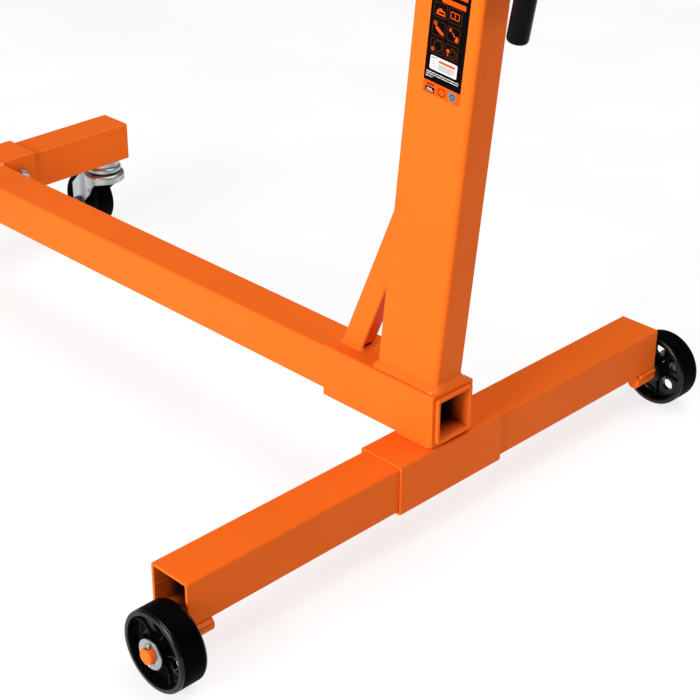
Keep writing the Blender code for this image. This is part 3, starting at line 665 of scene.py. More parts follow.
def build_post():
    slope = math.tan(POST_LEAN)
    rings = tube_rings(
        POST_WIDTH, POST_WIDTH - 2 * POST_WALL, POST_CORNER, POST_CORNER - 2 * MM,
        lambda x, y: -y * slope, HEAD_UP - 10 * MM, depth=POST_DEPTH, bore_depth=POST_DEPTH - 2 * POST_WALL)
    post = loft(rings, hollow=True)
    post = drilled(post, HEAD_TUBE_RADIUS + GAP, 0.2, at(0, 0, HEAD_UP, ALONG_Y), steps=96)
    post.transform(post_frame)
    stand_in("post", "body", post, ORANGE, angle=40)

    brace_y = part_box("brace")[1].y - BRACE_DEPTH / 2 / math.cos(BRACE_LEAN)
    brace_frame = at(0, brace_y, foot_z, Matrix.Rotation(BRACE_LEAN, 4, "X"))
    to_post = post_frame.inverted() @ brace_frame

    def post_face(x, y):
        foot = to_post @ Vector((x, y, 0))
        step = to_post.to_3x3() @ Vector((0, 0, 1))
        return (POST_DEPTH / 2 + GAP - foot.y) / step.y

    brace_slope = math.tan(BRACE_LEAN)
    rings = tube_rings(
        BRACE_WIDTH, BRACE_WIDTH - 2 * BRACE_WALL, BRACE_CORNER, 1 * MM,
        lambda x, y: -y * brace_slope, post_face, depth=BRACE_DEPTH, bore_depth=BRACE_DEPTH - 2 * BRACE_WALL)
    low, high = -BRACE_DEPTH / 2 - 2 * MM, -BRACE_DEPTH / 2 + 4 * MM
    notch = [(-7 * MM, low), (7 * MM, low), (5 * MM, high), (-5 * MM, high)]
    brace = combine(loft(rings, hollow=True), prism(notch, -5 * MM, 12 * MM))
    brace.transform(brace_frame)
    stand_in("brace", "body", brace, ORANGE, angle=40)
    return brace_frame, post_face


brace_frame, brace_top = build_post()


# --------------------------------------------------------------------------- welds

def on(matrix, points):
    return [matrix @ Vector(p) for p in points]


def fillet_weld(name, width, depth, corner, leg, rise, place, lean=0.0):
    """A smooth fillet all round a tube that stands on a face; the tube may lean along Y."""
    outline = []
    corners = [Vector(p) for p in rounded(width, depth, corner, 8)]
    for first, second in zip(corners, corners[1:] + corners[:1]):
        steps = max(1, round((second - first).length / (1.2 * MM)))
        outline += [first.lerp(second, step / steps) for step in range(steps)]
    count = len(outline)
    normals = []
    for index in range(count):
        along = outline[(index + 1) % count] - outline[index - 1]
        normals.append(Vector((along.y, -along.x)).normalized())
    section = (                                     # out from the tube, up from the face
        (-0.3, 1.0), (0.04, 1.0), (0.2, 0.84), (0.42, 0.62), (0.64, 0.4), (0.84, 0.2), (0.96, 0.07),
        (1.0, 0.0), (0.6, -0.02))
    rings = []
    for out, up in section:
        points = []
        for index, (spot, normal) in enumerate(zip(outline, normals)):
            swell = 1 + 0.10 * noise.noise(Vector((spot.x * 90, spot.y * 90, leg * 999)))
            swell += 0.035 * math.sin(index * 1.2 * MM / (3.4 * MM) * 2 * math.pi)
            height = max(up, 0.0) * rise * swell + (0.05 * MM if up >= 0 else -0.1 * MM)
            reach = spot + normal * (out * leg * swell if out > 0 else out * MM)
            points.append((reach.x, reach.y - math.tan(lean) * height, height))
        rings.append(points)
    piece(name, loft(rings, hollow=True, turn=place), WELD, angle=60)


def build_welds():
    sunk = 0.3 * MM
    post_foot = at(0, post_frame.translation.y, foot_z - sunk)
    fillet_weld("post_foot_weld", POST_WIDTH, POST_DEPTH / math.cos(POST_LEAN), POST_CORNER,
                5.6 * MM, 6.5 * MM, post_foot, POST_LEAN)
    brace_foot = at(0, brace_frame.translation.y, foot_z - sunk)
    fillet_weld("brace_foot_weld", BRACE_WIDTH, BRACE_DEPTH / math.cos(BRACE_LEAN), BRACE_CORNER,
                2.4 * MM, 2.4 * MM, brace_foot, BRACE_LEAN)
    outset = 0.4 * MM
    outline = rounded(BRACE_WIDTH + 2 * outset, BRACE_DEPTH + 2 * outset, 3 * MM + outset, steps=4)
    loop = on(brace_frame, [(x, y, brace_top(x, y)) for x, y in outline])
    weld("brace_top_weld", [loop], 1.6 * MM, closed=True)

    rear_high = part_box("rear_cross_sleeve")[1]
    z = rear_high.z + sunk
    half = (sleeve_high.x - sleeve_low.x) / 2 - 2.5 * MM
    back, front = sleeve_low.y + 3 * MM, rear_high.y - 3 * MM
    weld("rear_joint_weld", [
        [(-half, front, z), (-half, back, z)], [(half, back, z), (half, front, z)],
        [(-half + 2 * MM, front + 0.5 * MM, z), (half - 2 * MM, front + 0.5 * MM, z)]], 3.0 * MM)

    beam_low, beam_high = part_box("centre_beam")
    butt_turn = ALONG_Y @ Matrix.Rotation(math.pi, 4, "X")
    butt = at(0, beam_high.y + GAP, (beam_low.z + beam_high.z) / 2, butt_turn)
    fillet_weld("front_joint_weld", TUBE, TUBE, TUBE_CORNER, 3.0 * MM, 3.4 * MM, butt)

    low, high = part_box("rear_axle_right")
    y, z = (low.y + high.y) / 2, high.z - 1.2 * MM
    start, end, reach = low.x + 2 * MM, low.x + 32 * MM, 6.6 * MM
    weld("rear_axle_welds", [
        [(side * start, y + offset, z), (side * end, y + offset, z)]
        for side in (-1, 1) for offset in (-reach, reach)], 2.4 * MM)

    def saddle(x):
        return HEAD_UP - math.sqrt((HEAD_TUBE_RADIUS + GAP) ** 2 - x * x)

    outline = rounded(POST_WIDTH + MM, POST_DEPTH + MM, POST_CORNER, steps=4)
    loop = []
    for first, second in zip(outline, outline[1:] + outline[:1]):
        for step in range(8):
            x, y = (start + (stop - start) * step / 8 for start, stop in zip(first, second))
            loop.append((x, y, saddle(x)))
    weld("head_tube_weld", [on(post_frame, loop)], 2.4 * MM, closed=True)

    half, face, top = 3.4 * MM, POST_DEPTH / 2 + GAP, -HEAD_TUBE_RADIUS
    gusset_lines = []
    for side in (-1, 1):
        x = side * half
        gusset_lines.append(on(head_frame, [(x, face, GUSSET_LOW + 3 * MM), (x, face, top - 6 * MM)]))
        gusset_lines.append(on(head_frame, [(x, face + 5 * MM, top), (x, GUSSET_FRONT - 3 * MM, top)]))
    weld("gusset_welds", gusset_lines, 1.6 * MM)

    z = HEAD_TUBE_RADIUS + 0.2 * MM
    x = 5.5 * MM
    weld("pin_guide_welds", [
        on(head_frame, [(side * x, 17 * MM, z), (side * x, 61 * MM, z)]) for side in (-1, 1)], 2.2 * MM)

    angles = [2 * math.pi * step / 60 for step in range(60)]
    radius = 29.8 * MM
    collar = [(radius * math.cos(angle), COLLAR_REAR, radius * math.sin(angle)) for angle in angles]
    weld("collar_weld", [on(head_frame, collar)], 1.8 * MM, "head", closed=True)


build_welds()


# ---------------------------------------------------------------------- rear wheels

def rear_wheel_mesh(outward, hole_turn):
    """A cast wheel along Z: dished web with round holes, ribs and a long hub."""
    face = [
        (8.3, 15.0), (8.8, 15.5), (12.4, 15.5), (13.1, 14.8), (14.2, 5.0), (14.8, 3.2), (15.6, 2.5),
        (32.2, 2.5), (33.8, 3.2), (34.5, 5.0), (35.3, 14.0), (36.1, 15.0), (38.8, 15.0), (40.1, 14.6),
        (40.8, 13.6), (41.0, 12.2), (41.0, 4.0)]
    back = [
        (41.0, -4.0), (41.0, -12.2), (40.8, -13.6), (40.1, -14.6), (38.8, -15.0), (36.3, -15.0),
        (35.5, -14.2), (34.4, -5.0), (33.6, -3.2), (32.2, -2.5), (15.6, -2.5), (14.8, -3.2), (14.3, -5.0),
        (13.4, -20.4), (12.8, -21.4), (8.8, -21.4), (8.3, -20.9)]
    mesh = turned(mm(face + back), 96, hollow=True)
    hole_circle, hole_radius = 21.8 * MM, 6.7 * MM
    for index in range(5):
        angle = math.radians(hole_turn + 72 * index)
        spot = at(hole_circle * math.cos(angle), hole_circle * math.sin(angle), 0)
        mesh = drilled(mesh, hole_radius, 10 * MM, spot, 40)
    ribs = []
    for index in range(5):
        for side in (-1, 1):
            turn = Matrix.Rotation(math.radians(hole_turn + 36 + 72 * index), 4, "Z")
            rings = []
            for radius, width, height in (
                    (13.0, 2.4, 10), (15.5, 2.0, 7.4), (20, 1.7, 5.6), (27, 1.7, 5.4), (32, 2.0, 6.4),
                    (35, 2.4, 9)):
                base, shoulder, top = 2.2 * side, (height - 0.9) * side, height * side
                section = (
                    (-width, base), (-width * 0.55, shoulder), (-width * 0.2, top), (width * 0.2, top),
                    (width * 0.55, shoulder), (width, base))
                rings.append(mm((radius, y, z) for y, z in section))
            ribs.append(loft(rings, turn=turn))
    mesh = merged([mesh, *ribs])
    for polygon in mesh.polygons:
        centre = polygon.center
        if math.hypot(centre.x, centre.y) > 40.9 * MM:       # the running face
            polygon.material_index = 1
    mesh.transform(outward)
    return mesh


HOLE_TURN = {"left": -146, "right": 88}             # degrees from +Y towards +Z
for name, side in SIDES:
    hub = Vector(joints[f"rear_wheel_{name}_spin"]["pos_m"])
    outward = ALONG_X if side > 0 else BACK_ALONG_X
    wheel = rear_wheel_mesh(at(*hub, outward), 90 + side * HOLE_TURN[name])
    stand_in(f"rear_wheel_{name}", "casting", wheel, (ENAMEL, TREAD), f"rear_wheel_{name}", angle=38)

    low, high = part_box(f"rear_axle_{name}")
    length = high.x - low.x
    start = low.x if side > 0 else high.x
    rod = turned([
        (7.6 * MM, 0), (8 * MM, 0.4 * MM), (8 * MM, length - 2.2 * MM), (7.7 * MM, length - 1.1 * MM),
        (6.9 * MM, length - 0.35 * MM), (5 * MM, length), (2 * MM, length)], 64)
    cotter_low, cotter_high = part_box(f"rear_cotter_{name}")
    cotter_x = (cotter_low.x + cotter_high.x) / 2
    rod = drilled(rod, 2.1 * MM, 0.05, at(0, 0, abs(cotter_x - start), ALONG_X), 24)
    rod.transform(at(start, hub.y, hub.z, outward))
    stand_in(f"rear_axle_{name}", "rod", rod, ORANGE, angle=35)

    low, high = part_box(f"rear_washer_{name}")
    thick = high.x - low.x
    washer = turned([
        (8.5 * MM, 0), (15 * MM, 0), (15.5 * MM, 0.5 * MM), (15.5 * MM, thick - 0.9 * MM),
        (15.1 * MM, thick - 0.3 * MM), (14.3 * MM, thick), (9 * MM, thick), (8.4 * MM, thick - 0.5 * MM),
        (8.4 * MM, 0.3 * MM)], 64, hollow=True)
    washer.transform(at(low.x if side > 0 else high.x, hub.y, hub.z, outward))
    stand_in(f"rear_washer_{name}", "disc", washer, ZINC, angle=35)


def wire_mesh(points, radius):
    """A round wire through points in the YZ plane."""
    sides = 10
    path = [Vector((0, y, z)) for y, z in points]
    rings = []
    for index, place in enumerate(path):
        before, after = path[max(0, index - 1)], path[min(len(path) - 1, index + 1)]
        tangent = (after - before).normalized()
        normal = Vector((1, 0, 0))
        other = tangent.cross(normal)
        rings.append([
            place + (normal * math.cos(a) + other * math.sin(a)) * radius
            for a in [2 * math.pi * step / sides for step in range(sides)]])
    return loft(rings)


for name, side in SIDES:
    hub = Vector(joints[f"rear_wheel_{name}_spin"]["pos_m"])
    low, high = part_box(f"rear_cotter_{name}")
    leg, eye, eye_z = 0.95, 1.9, 10.2
    opening = math.degrees(math.asin(leg / eye))
    half = [(3.6, -10.6), (2.7, -10.1), (1.9, -9.5), (1.2, -8.9), (leg, -8.3), (leg, 0), (leg, 7.8)]
    loop = arc((0, eye_z), eye, -90 + opening, 270 - opening, 24)
    cotter = wire_mesh(mm(half + loop + [(-y, z) for y, z in reversed(half)]), 0.85 * MM)
    cotter.transform(at((low.x + high.x) / 2, hub.y, hub.z))
    stand_in(f"rear_cotter_{name}", "pin", cotter, ZINC, angle=50)


# --------------------------------------------------------------------------- casters

def caster_fork_mesh():
    """The stamped fork in the swivel's axes: a round skirt that flattens into two legs."""
    sheet = 2.4
    trail, axle_z, foot_radius = 36.0, 38.0, 13.3
    hood_radius, leg_x = 27.1, 18.9

    def foot(z):
        """Half the length of the leg's round end at a height."""
        return math.sqrt(max(0.0, foot_radius ** 2 - (z - axle_z) ** 2))

    def front_edge(z):
        """Where the leg's front edge is, as a distance along the trail, at a height."""
        if z > 78:
            return -19.0
        if z > 76.5:
            return -19.0 + (78 - z) / 1.5 * 9.5
        if z > 40:
            return -9.5 + (76.5 - z) / 36.5 * 35.5
        return trail - foot(z) if z < 30 else 26 - (40 - z) / 10 * 2.0

    def rear_edge(z):
        if z > 62:
            return 49.3 - (z - 62) * 22 / 22.5
        if z > axle_z:
            return 49.3
        return trail + foot(z)

    def skin(y, z, inset):
        """How far the sheet's face is from the middle: round at the hood, flat at the leg."""
        flat = leg_x - inset
        round_radius = hood_radius - inset
        bulge = math.sqrt(max(0.0, round_radius ** 2 - y * y)) if abs(y) < round_radius else 0.0
        share = min(1.0, max(0.0, (z - 52) / 24))
        share = share * share * (3 - 2 * share)
        return flat + (max(flat, bulge) - flat) * share

    heights = (
        86, 84, 81, 78.5, 78, 77.5, 77, 76.5, 75, 74, 72, 69, 66, 62, 58, 54, 50, 46, 42, 38, 34, 31,
        29, 27.5, 26.2, 25.2, 24.75)
    legs = []
    for side in (-1, 1):
        rings = []
        for z in heights:
            start, stop = front_edge(z), rear_edge(z)
            if stop < start + 1:
                start, stop = trail - 0.5, trail + 0.5
            across_leg = [start + (stop - start) * step / 14 for step in range(15)]
            outer = [(side * skin(y, z, 0), y, z) for y in across_leg]
            inner = [(side * skin(y, z, sheet), y, z) for y in reversed(across_leg)]
            rings.append(mm(outer + inner))
        legs.append(loft(rings))
    hood = turned(mm((
        (6.4, 78.3), (24.4, 78.3), (25.0, 78.0), (26.9, 78.0), (27.5, 78.5), (27.5, 79.6), (27.3, 80.4),
        (27.3, 84.6), (27.5, 85.6), (27.1, 87.0), (26.0, 88.3), (24.4, 89.2), (22.6, 89.5), (18.4, 89.5),
        (17.4, 90.2), (16.8, 91.1), (6.4, 91.1))), 72, hollow=True)
    return merged([*legs, hood])


def build_casters():
    fork = caster_fork_mesh()
    for name, _ in SIDES:
        swivel = Vector(joints[f"caster_{name}_swivel"]["pos_m"])
        place = at(swivel.x, swivel.y, 0)
        body = f"caster_swivel_{name}"
        mesh = fork.copy()
        mesh.transform(place)
        stand_in(f"caster_fork_{name}", "stamping", mesh, STAMPED, body, angle=38)

        race = turned(mm((
            (6.4, 106.7), (20.0, 106.7), (20.6, 106.1), (20.6, 101.5), (21.0, 99.2), (22.0, 97.9),
            (23.0, 97.2), (23.5, 96.2), (23.5, 93.4), (23.1, 92.2), (22.2, 91.6),
            (6.4, 91.6))), 72, hollow=True, turn=place)
        stand_in(f"caster_race_{name}", "cup", race, STAMPED, angle=40)

        low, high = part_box(f"caster_king_bolt_{name}")
        head = 6 * MM
        seat = at(swivel.x, swivel.y, low.z + head)
        king = bolt_mesh(17 * MM, head, 6 * MM, 26 * MM, high.z - low.z - head, turn=seat)
        stand_in(f"caster_king_bolt_{name}", "detail", king, ZINC)
        low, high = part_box(f"caster_stem_nut_{name}")
        stem = nut_mesh(19 * MM, high.z - low.z, 6.3 * MM, turn=at(swivel.x, swivel.y, low.z))
        stand_in(f"caster_stem_nut_{name}", "detail", stem, ZINC)

        hub = Vector(joints[f"caster_wheel_{name}_spin"]["pos_m"])
        half = [
            (4.3, 15.7), (4.8, 16.2), (8.4, 16.2), (9.1, 15.6), (9.9, 10.2), (10.8, 9.2), (12, 9.0),
            (27.0, 9.0), (28.4, 9.5), (29.3, 11.4), (30.2, 12.8), (31.4, 13.4), (34.2, 13.5), (35.8, 13.1),
            (37.0, 12.0), (37.7, 10.2), (38.0, 7.5), (38.0, 2.5)]
        profile = mm(half + [(r, -z) for r, z in reversed(half)])
        wheel = turned(profile, 88, hollow=True, turn=at(*hub, ALONG_X))
        stand_in(f"caster_wheel_{name}", "tyre", wheel, TYRE, f"caster_wheel_{name}", angle=38)

        low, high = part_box(f"caster_axle_bolt_{name}")
        seat_x = hub.x - 19.3 * MM
        seat = at(seat_x, hub.y, hub.z, ALONG_X)
        axle = bolt_mesh(13 * MM, 5.3 * MM, 4 * MM, 34 * MM, high.x - seat_x, turn=seat)
        stand_in(f"caster_axle_bolt_{name}", "detail", axle, STEEL, body)
        low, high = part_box(f"caster_axle_nut_{name}")
        seat = at(low.x, hub.y, hub.z, ALONG_X)
        nut = nut_mesh(13 * MM, high.x - low.x, 4.3 * MM, insert=1.8 * MM, turn=seat)
        stand_in(f"caster_axle_nut_{name}", "detail", nut, STEEL, body)


build_casters()


# -------------------------------------------------------------- bolts in the sleeves

M10_FLATS, M10_HEAD, M10_RADIUS, FLANGE = 17 * MM, 6.5 * MM, 5 * MM, 10.5 * MM


def set_bolt(node, axis, turn):
    """A bolt that presses on the tube in a sleeve; its head is at the axis's high end."""
    low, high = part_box(node)
    seat = (low + high) / 2
    seat[axis] = high[axis] - M10_HEAD
    length = high[axis] - low[axis] - M10_HEAD
    mesh = bolt_mesh(M10_FLATS, M10_HEAD, M10_RADIUS, 1 * MM, length, turn=at(*seat, turn))
    stand_in(node, "detail", mesh, ZINC)


def build_sleeve_bolts():
    washer = 2 * MM
    for name, _ in SIDES:
        low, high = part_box(f"front_bolt_{name}")
        centre = (low + high) / 2
        seat = low.y + M10_HEAD + washer
        mesh = bolt_mesh(M10_FLATS, M10_HEAD, M10_RADIUS, 56 * MM, high.y - seat, washer=FLANGE,
                         washer_thickness=washer, turn=at(centre.x, seat, centre.z, ALONG_Y))
        stand_in(f"front_bolt_{name}", "detail", mesh, ZINC)
        low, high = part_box(f"front_nut_{name}")
        mesh = nut_mesh(M10_FLATS, high.y - low.y, 5.3 * MM, flange=FLANGE,
                        turn=at(centre.x, low.y, centre.z, ALONG_Y))
        stand_in(f"front_nut_{name}", "detail", mesh, ZINC)
        set_bolt(f"rear_set_bolt_{name}", 1, BACK_ALONG_Y)
    set_bolt("centre_set_bolt", 0, BACK_ALONG_X)


build_sleeve_bolts()


# ------------------------------------------------------------------------------ head

ARM_REACH, ARM_TRAVEL, ARM_BORE = 88 * MM, 45 * MM, 7.3 * MM
BAR_SHIFT = 28.95 * MM                              # the bar's middle, below the head's axis


def pipe(outer, inner, start, end, turn, steps=80):
    """A round tube with softened ends, between two heights along Z."""
    edge = 0.6 * MM
    return turned([
        (outer, start + edge), (outer, end - edge), (outer - 0.3 * edge, end - 0.3 * edge),
        (outer - edge, end), (inner + 0.6 * edge, end), (inner, end - 0.6 * edge),
        (inner, start + 0.6 * edge), (inner + 0.6 * edge, start), (outer - edge, start),
        (outer - 0.3 * edge, start + 0.3 * edge)], steps, hollow=True, turn=turn)


def build_head():
    place = head_frame @ ALONG_Y
    tube = pipe(HEAD_TUBE_RADIUS, HEAD_TUBE_BORE, -50 * MM, 82 * MM, place)
    stand_in("head_tube", "body", tube, ORANGE, angle=40)

    shaft = pipe(29.6 * MM, 23 * MM, -102 * MM, 82.7 * MM, place)
    bar_place = middle("handle_bar")
    bar_axis = Vector(joints["handle_slide"]["axis"]).normalized()
    if bar_axis.z < 0:
        bar_axis = -bar_axis
    handle_frame = frame_of(bar_place, across, bar_axis.cross(across), bar_axis)
    shaft = drilled(shaft, 7.6 * MM, 0.12, frame_of(
        bar_place + bar_axis * BAR_SHIFT, across, bar_axis.cross(across), bar_axis), 48)
    stand_in("head_shaft", "body", shaft, ORANGE, "head", angle=40)
    collar = pipe(39 * MM, 29.9 * MM, COLLAR_REAR, -50.5 * MM, place)
    stand_in("shaft_collar", "body", collar, ORANGE, "head", angle=40)

    holes = []
    for index in range(8):
        angle = 2 * math.pi * index / 8
        holes.append(circle(5.5 * MM, 32, (PIN_UP * math.cos(angle), PIN_UP * math.sin(angle))))
    for side in (-1, 1):
        for end in (-1, 1):
            holes.append(circle(6.3 * MM, 32, (side * 72 * MM, end * 72 * MM)))
    plate = prism(rounded(190 * MM, 190 * MM, 12 * MM, 10), 83 * MM, 93 * MM, holes, turn=place)
    stand_in("mount_plate", "body", plate, ORANGE, "head", bevel=0.7 * MM)

    top, back = -HEAD_TUBE_RADIUS - GAP, POST_DEPTH / 2 + GAP
    outline = [
        (back, top), (GUSSET_FRONT, top), (GUSSET_FRONT, top - 6 * MM), (back + 6 * MM, GUSSET_LOW),
        (back, GUSSET_LOW)]
    upright = frame_of(Vector(), Vector((0, 1, 0)), Vector((0, 0, 1)), Vector((1, 0, 0)))
    gusset = prism(outline, -3 * MM, 3 * MM, turn=head_frame @ upright)
    stand_in("head_gusset", "body", gusset, ORANGE, bevel=0.6 * MM)

    pin_frame = head_frame @ at(0, 0, PIN_UP, ALONG_Y)
    guide = pipe(11 * MM, 5.3 * MM, 14 * MM, 64 * MM, pin_frame, steps=48)
    stand_in("lock_pin_guide", "body", guide, ORANGE, angle=40)
    stop = 64.3
    pin = turned(mm((
        (4.6, -24.0), (5, -23.6), (5, stop), (7.6, stop), (8, stop + 0.4), (8, stop + 2.3), (7.6, stop + 2.7),
        (5, stop + 2.7), (5, 76.4), (4.7, 77.3), (3.6, 78.7), (3.0, 79.0))), 40, turn=pin_frame)
    stand_in("lock_pin", "rod", pin, ZINC, "lock_pin", angle=35)

    # The pull knob has eighteen flutes.
    profile = (
        (5.3, -8.4), (5.8, -8.0), (7.2, -8.0), (7.7, -8.6), (7.9, -11.5), (8.6, -13.4), (9.8, -15.2),
        (10.5, -17.6), (10.8, -21), (10.5, -24.2), (9.6, -26.6), (7.6, -28.8), (5.4, -29.8), (3.3, -30),
        (3, -29.7), (3, -24.6), (5.3, -24.6))
    rings = []
    for radius, z in profile:
        depth = 0.55 if radius > 8.5 else 0.0
        fluted = []
        for step in range(108):
            angle = 2 * math.pi * step / 108
            reach = radius - depth * (0.5 - 0.5 * math.cos(18 * angle))
            fluted.append((reach * math.cos(angle) * MM, reach * math.sin(angle) * MM, z * MM))
        rings.append(fluted)
    knob = loft(rings, hollow=True, turn=pin_frame)
    piece("lock_pin_pull_knob", knob, GRIP, "lock_pin", "lock_pin_knob", angle=40)
    return handle_frame


def build_arms():
    half, tail = 20 * MM, -60 * MM
    for name in ("right_top", "left_top", "left_bottom", "right_bottom"):
        swing, reach = joints[f"arm_{name}_swing"], joints[f"arm_{name}_reach"]
        outwards = Vector(reach["axis"]).normalized()
        clamp = frame_of(Vector(swing["pos_m"]), outwards, forward.cross(outwards), forward)
        outline = [(tail, half - 3 * MM), (tail, 3 * MM - half), (tail + 3 * MM, -half)]
        outline += arc((ARM_REACH, 0), half, -90, 90, 32) + [(tail + 3 * MM, half)]
        slot = arc((0, 0), 6.5 * MM, -90, 90, 16) + arc((-ARM_TRAVEL, 0), 6.5 * MM, 90, 270, 16)
        bar = prism(outline, GAP, 8.3 * MM, [slot, circle(ARM_BORE, 48, (ARM_REACH, 0))], turn=clamp)
        tube = pipe(14 * MM, ARM_BORE, 8.2 * MM, 64.3 * MM, clamp @ at(ARM_REACH, 0, 0), steps=56)
        stand_in(f"mounting_arm_{name}", "bar", bar, ORANGE, f"arm_{name}", bevel=0.6 * MM)
        piece(f"mounting_arm_{name}_tube", tube, ORANGE, f"arm_{name}", angle=40)
        seam = [(ARM_REACH + x, y, 8.4 * MM) for x, y in circle(14.2 * MM, 48)]
        weld(f"mounting_arm_{name}_weld", [on(clamp, seam)], 1.8 * MM, f"arm_{name}", closed=True)
        bolt = bolt_mesh(19 * MM, 7.5 * MM, 6 * MM, 14 * MM, 34 * MM, turn=clamp @ at(0, 0, -10 * MM - GAP))
        stand_in(f"clamp_bolt_{name}", "detail", bolt, ZINC, f"clamp_{name}")
        nut = nut_mesh(19 * MM, 11 * MM, 6.3 * MM, flange=13 * MM, turn=clamp @ at(0, 0, 8.6 * MM))
        stand_in(f"clamp_nut_{name}", "detail", nut, ZINC, f"clamp_{name}")


def build_handle(handle_frame):
    half = 166.65 * MM
    bar = turned([
        (6.5 * MM, -half), (7.3 * MM, 0.8 * MM - half), (7.3 * MM, half - 0.8 * MM), (6.5 * MM, half)],
        56, turn=handle_frame)
    stand_in("handle_bar", "rod", bar, ZINC, "handle", angle=40)
    profile = mm((
        (7.6, 0), (9.4, 0), (9.9, 0.3), (10.2, 0.9), (10.2, 3.0), (9.95, 3.4), (9.95, 4.2), (10.2, 4.7),
        (10.2, 106.0), (10.0, 107.4), (9.4, 108.6), (8.4, 109.5), (7.0, 109.9), (5.4, 110), (2.2, 110),
        (1.5, 109.4), (1.5, 107.0), (7.6, 107.0)))
    rest, length, lower_end = 31 * MM, 110 * MM, -198.9 * MM
    upper = turned(profile, 72, hollow=True, turn=handle_frame @ at(0, 0, rest + BAR_SHIFT))
    stand_in("handle_grip_upper", "sleeve", upper, GRIP, "handle", angle=40)
    flip = Matrix.Rotation(math.pi, 4, "X")
    lower_place = handle_frame @ at(0, 0, lower_end + length + BAR_SHIFT, flip)
    lower = turned(profile, 72, hollow=True, turn=lower_place)
    stand_in("handle_grip_lower", "sleeve", lower, GRIP, "handle", angle=40)


handle_frame = build_head()
build_arms()
build_handle(handle_frame)


# ----------------------------------------------------------------------------- label

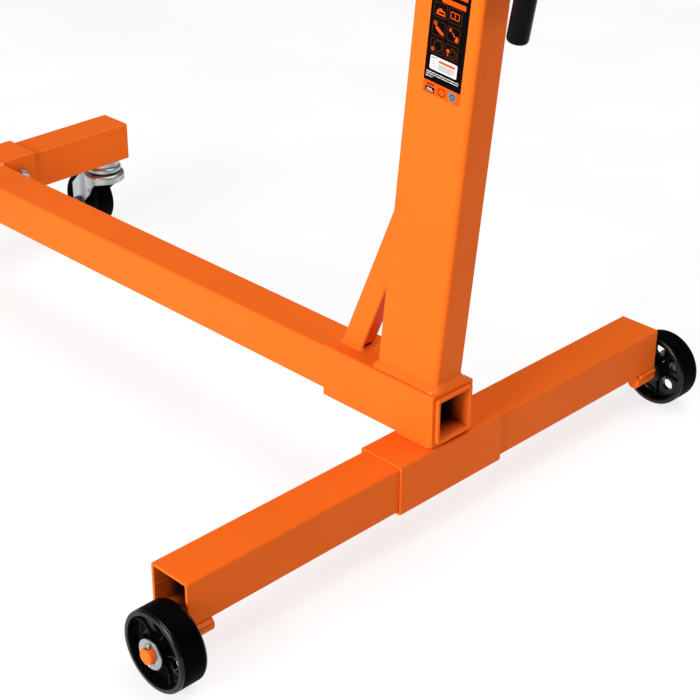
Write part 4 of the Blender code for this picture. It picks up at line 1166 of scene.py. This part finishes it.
def build_label():
    """A generic sticker on the post's left face. Its layout is in millimetres, u to the
    right as it is read and v up the post; it has shapes but no lettering."""
    face = frame_of(post_frame @ Vector((-POST_WIDTH / 2, 3.7 * MM, -1.6 * MM)), -forward, upward, -across)
    layers = {"black": [], "orange": [], "dim": [], "white": [], "grey": []}

    def shape(layer, outline, level, holes=()):
        start, end = 0.02 * MM, (0.12 + 0.04 * level) * MM
        layers[layer].append(prism(mm(outline), start, end, [mm(hole) for hole in holes], turn=face))

    def box(u0, v0, u1, v1, corner=0.8):
        centre = ((u0 + u1) / 2, (v0 + v1) / 2)
        return [(u + centre[0], v + centre[1]) for u, v in rounded(abs(u1 - u0), abs(v1 - v0), corner, 3)]

    def framed(layer, u0, v0, u1, v1, line, level, corner=1.6):
        shape(layer, box(u0, v0, u1, v1, corner), level,
              [box(u0 + line, v0 + line, u1 - line, v1 - line, max(0.2, corner - line))])

    def disc(layer, u, v, radius, level, hole=0.0):
        shape(layer, circle(radius, 20, (u, v)), level, [circle(hole, 20, (u, v))] if hole else ())

    shape("orange", box(-14.4, 306.9, 30.6, 320.4, 0.6), 0)
    shape("black", box(-14.4, 319.0, 30.6, 452, 0.6), 1)
    framed("orange", -13.0, 437.5, 29.2, 450.4, 0.5, 2)
    shape("orange", box(-11, 440, 8, 448, 0.8), 2)
    for row in range(3):
        shape("orange", box(11, 446.4 - 3 * row, 27 - 4 * row, 447.8 - 3 * row, 0.3), 2)
    for row in range(4):
        shape("grey", box(-11, 431 - 4.2 * row, 27 - 5 * (row % 2), 432 - 4.2 * row, 0.3), 2)
    shape("orange", box(-11, 404, 27, 412, 0.8), 2)
    shape("orange", box(-2.2, 395.4, 25.8, 400.0, 0.5), 2)

    for row, v in enumerate((380.4, 363.2, 346.4)):
        for u in (-10.5, 7.2):
            framed("dim", u, v, u + 15.4, v + 13.8, 0.45, 2)
    # Plain pictures of parts and tools
    shape("orange", [
        (-7.6, 382.8), (3, 382.8), (2, 387.4), (-1, 387.4), (-1, 389), (-4.6, 389), (-4.6, 387.4),
        (-6.6, 387.4)], 3)
    shape("black", box(-5, 384.2, 1.6, 386.0, 0.3), 4)
    framed("orange", 9.2, 384.0, 14.6, 390.6, 0.7, 3, 0.8)
    framed("orange", 14.3, 384.0, 19.8, 390.6, 0.7, 3, 0.8)
    disc("orange", -7.2, 374.2, 1.9, 3, 0.9)
    shape("orange", [
        (-6.4, 371.6), (-5.2, 372.4), (2.6, 367.8), (3.6, 366.0), (2.2, 364.8), (-2.0, 366.6),
        (-6.8, 369.6)], 3)
    disc("orange", 11.0, 373.4, 1.7, 3, 0.8)
    shape("orange", [(13, 371.6), (13.8, 372.2), (17.4, 368.8), (16.8, 368.0)], 3)
    shape("orange", [(17.0, 364.6), (20.6, 364.4), (21.0, 368.0), (19.4, 370.2), (17.6, 367.4)], 3)
    disc("dim", -1.6, 354.2, 5.2, 3, 4.6)
    disc("orange", -7.4, 350.0, 1.7, 4, 0.8)
    disc("dim", 16.2, 352.4, 5.0, 3, 4.4)
    disc("dim", 16.2, 352.4, 3.0, 3, 2.5)
    disc("orange", 10.6, 353.6, 1.8, 4, 0.7)
    shape("orange", box(10.1, 348.6, 11.1, 351.2, 0.3), 4)

    shape("white", box(-8.9, 330.6, 23.8, 343.9, 1.6), 2)
    shape("orange", box(1.4, 339.1, 21.5, 341.4, 1.0), 3)
    for row in range(5):
        shape("grey", box(1.4, 337.3 - 1.15 * row, 21.0 - 3.5 * (row == 4), 337.75 - 1.15 * row, 0.15), 3)
    shape("grey", box(-8.0, 341.6, -1.2, 342.3, 0.2), 3)
    for row in range(3):
        disc("grey", -4.8 + 0.9 * row, 338.4 - 1.9 * row, 0.6, 3)
    for row, (v, end) in enumerate(((327.2, 27.5), (325.2, 26.6), (322.9, -4.2))):
        u = -12.0
        step = 0
        while u < end:
            width = 1.6 + 0.9 * ((step * 7 + row * 3) % 4)
            shape("white", box(u, v, min(u + width, end), v + 0.85, 0.2), 2)
            u += width + 0.55
            step += 1
    shape("black", box(-11.1, 308.6, 0.0, 313.6, 1.0), 1)
    shape("white", box(-9.4, 311.3, -3.0, 312.1, 0.2), 2)
    shape("white", box(-9.4, 309.7, -1.4, 310.5, 0.2), 2)
    shape("black", box(-9.9, 315.3, -1.3, 316.5, 0.3), 1)
    framed("black", 4.0, 308.6, 13.0, 316.4, 0.8, 1, 3.0)
    disc("grey", 21.6, 312.9, 5.2, 1)
    disc("black", 21.6, 312.9, 2.6, 2, 1.9)

    looks = {"black": INK_BLACK, "orange": INK_ORANGE, "dim": INK_DIM, "white": INK_WHITE, "grey": INK_GREY}
    for layer, look in looks.items():
        piece(f"label_{layer}", merged(layers[layer]), look, angle=30)


build_label()


# ------------------------------------------------------------------- stage and camera

def build_stage():
    floor_look = Look("pale_floor")
    greys = [(0.3, (0.216, 0.216, 0.216)), (0.7, (0.224, 0.224, 0.224))]
    pale = floor_look.ramp(floor_look.noise(3, 3), greys)
    floor_look.colour(pale)
    floor_look.link(pale, floor_look.shader.inputs["Emission Color"])
    floor_look.shader.inputs["Emission Strength"].default_value = 3.55
    floor_look.shader.inputs["Specular IOR Level"].default_value = 0.05
    floor_look.roughness(floor_look.span(floor_look.noise(8, 2), 0.7, 0.85))
    size = 30.0
    bm = bmesh.new()
    corners = [bm.verts.new((x * size, y * size, -0.3 * MM)) for x, y in ((-1, -1), (1, -1), (1, 1), (-1, 1))]
    bm.faces.new(corners)
    floor = bpy.data.objects.new("floor", to_mesh(bm))
    floor.data.materials.append(floor_look.material)
    scene.collection.objects.link(floor)

    world = bpy.data.worlds.new("studio")
    world.use_nodes = True
    background = world.node_tree.nodes["Background"]
    background.inputs["Color"].default_value = (1.0, 0.995, 0.985, 1)
    background.inputs["Strength"].default_value = 0.15
    scene.world = world

    def softbox(name, place, target, width, height, power):
        light = bpy.data.lights.new(name, "AREA")
        light.shape = "RECTANGLE"
        light.size, light.size_y = width, height
        light.energy = power
        lamp = bpy.data.objects.new(name, light)
        lamp.location = place
        aim = Vector(target) - Vector(place)
        lamp.rotation_mode = "QUATERNION"
        lamp.rotation_quaternion = aim.to_track_quat("-Z", "Y")
        scene.collection.objects.link(lamp)

    softbox("key", (-4.2, -0.35, 1.6), (0, 0, 0.3), 2.4, 2.0, 262)
    softbox("top", (0.9, -0.9, 4.2), (0, 0, 0), 3.2, 3.2, 132)


def build_camera():
    """The camera that was fitted to the photo's straight edges."""
    azimuth, elevation, roll = math.radians(-44.98), math.radians(28.34), math.radians(0.29)
    level = math.cos(elevation)
    back = Vector((math.sin(azimuth) * level, -math.cos(azimuth) * level, math.sin(elevation)))
    right = Vector((0, 0, 1)).cross(back).normalized()
    up = back.cross(right)
    rolled_right = right * math.cos(roll) + up * math.sin(roll)
    rolled_up = up * math.cos(roll) - right * math.sin(roll)
    data = bpy.data.cameras.new("camera")
    data.lens = 90.02
    data.sensor_width = 36
    data.clip_start, data.clip_end = 0.05, 60
    camera = bpy.data.objects.new("camera", data)
    place = Vector((-1.13421, -1.37790, 1.01396))
    camera.matrix_world = frame_of(place, rolled_right, rolled_up, back)
    scene.collection.objects.link(camera)
    scene.camera = camera


build_stage()
build_camera()
scene.view_settings.view_transform = "Standard"
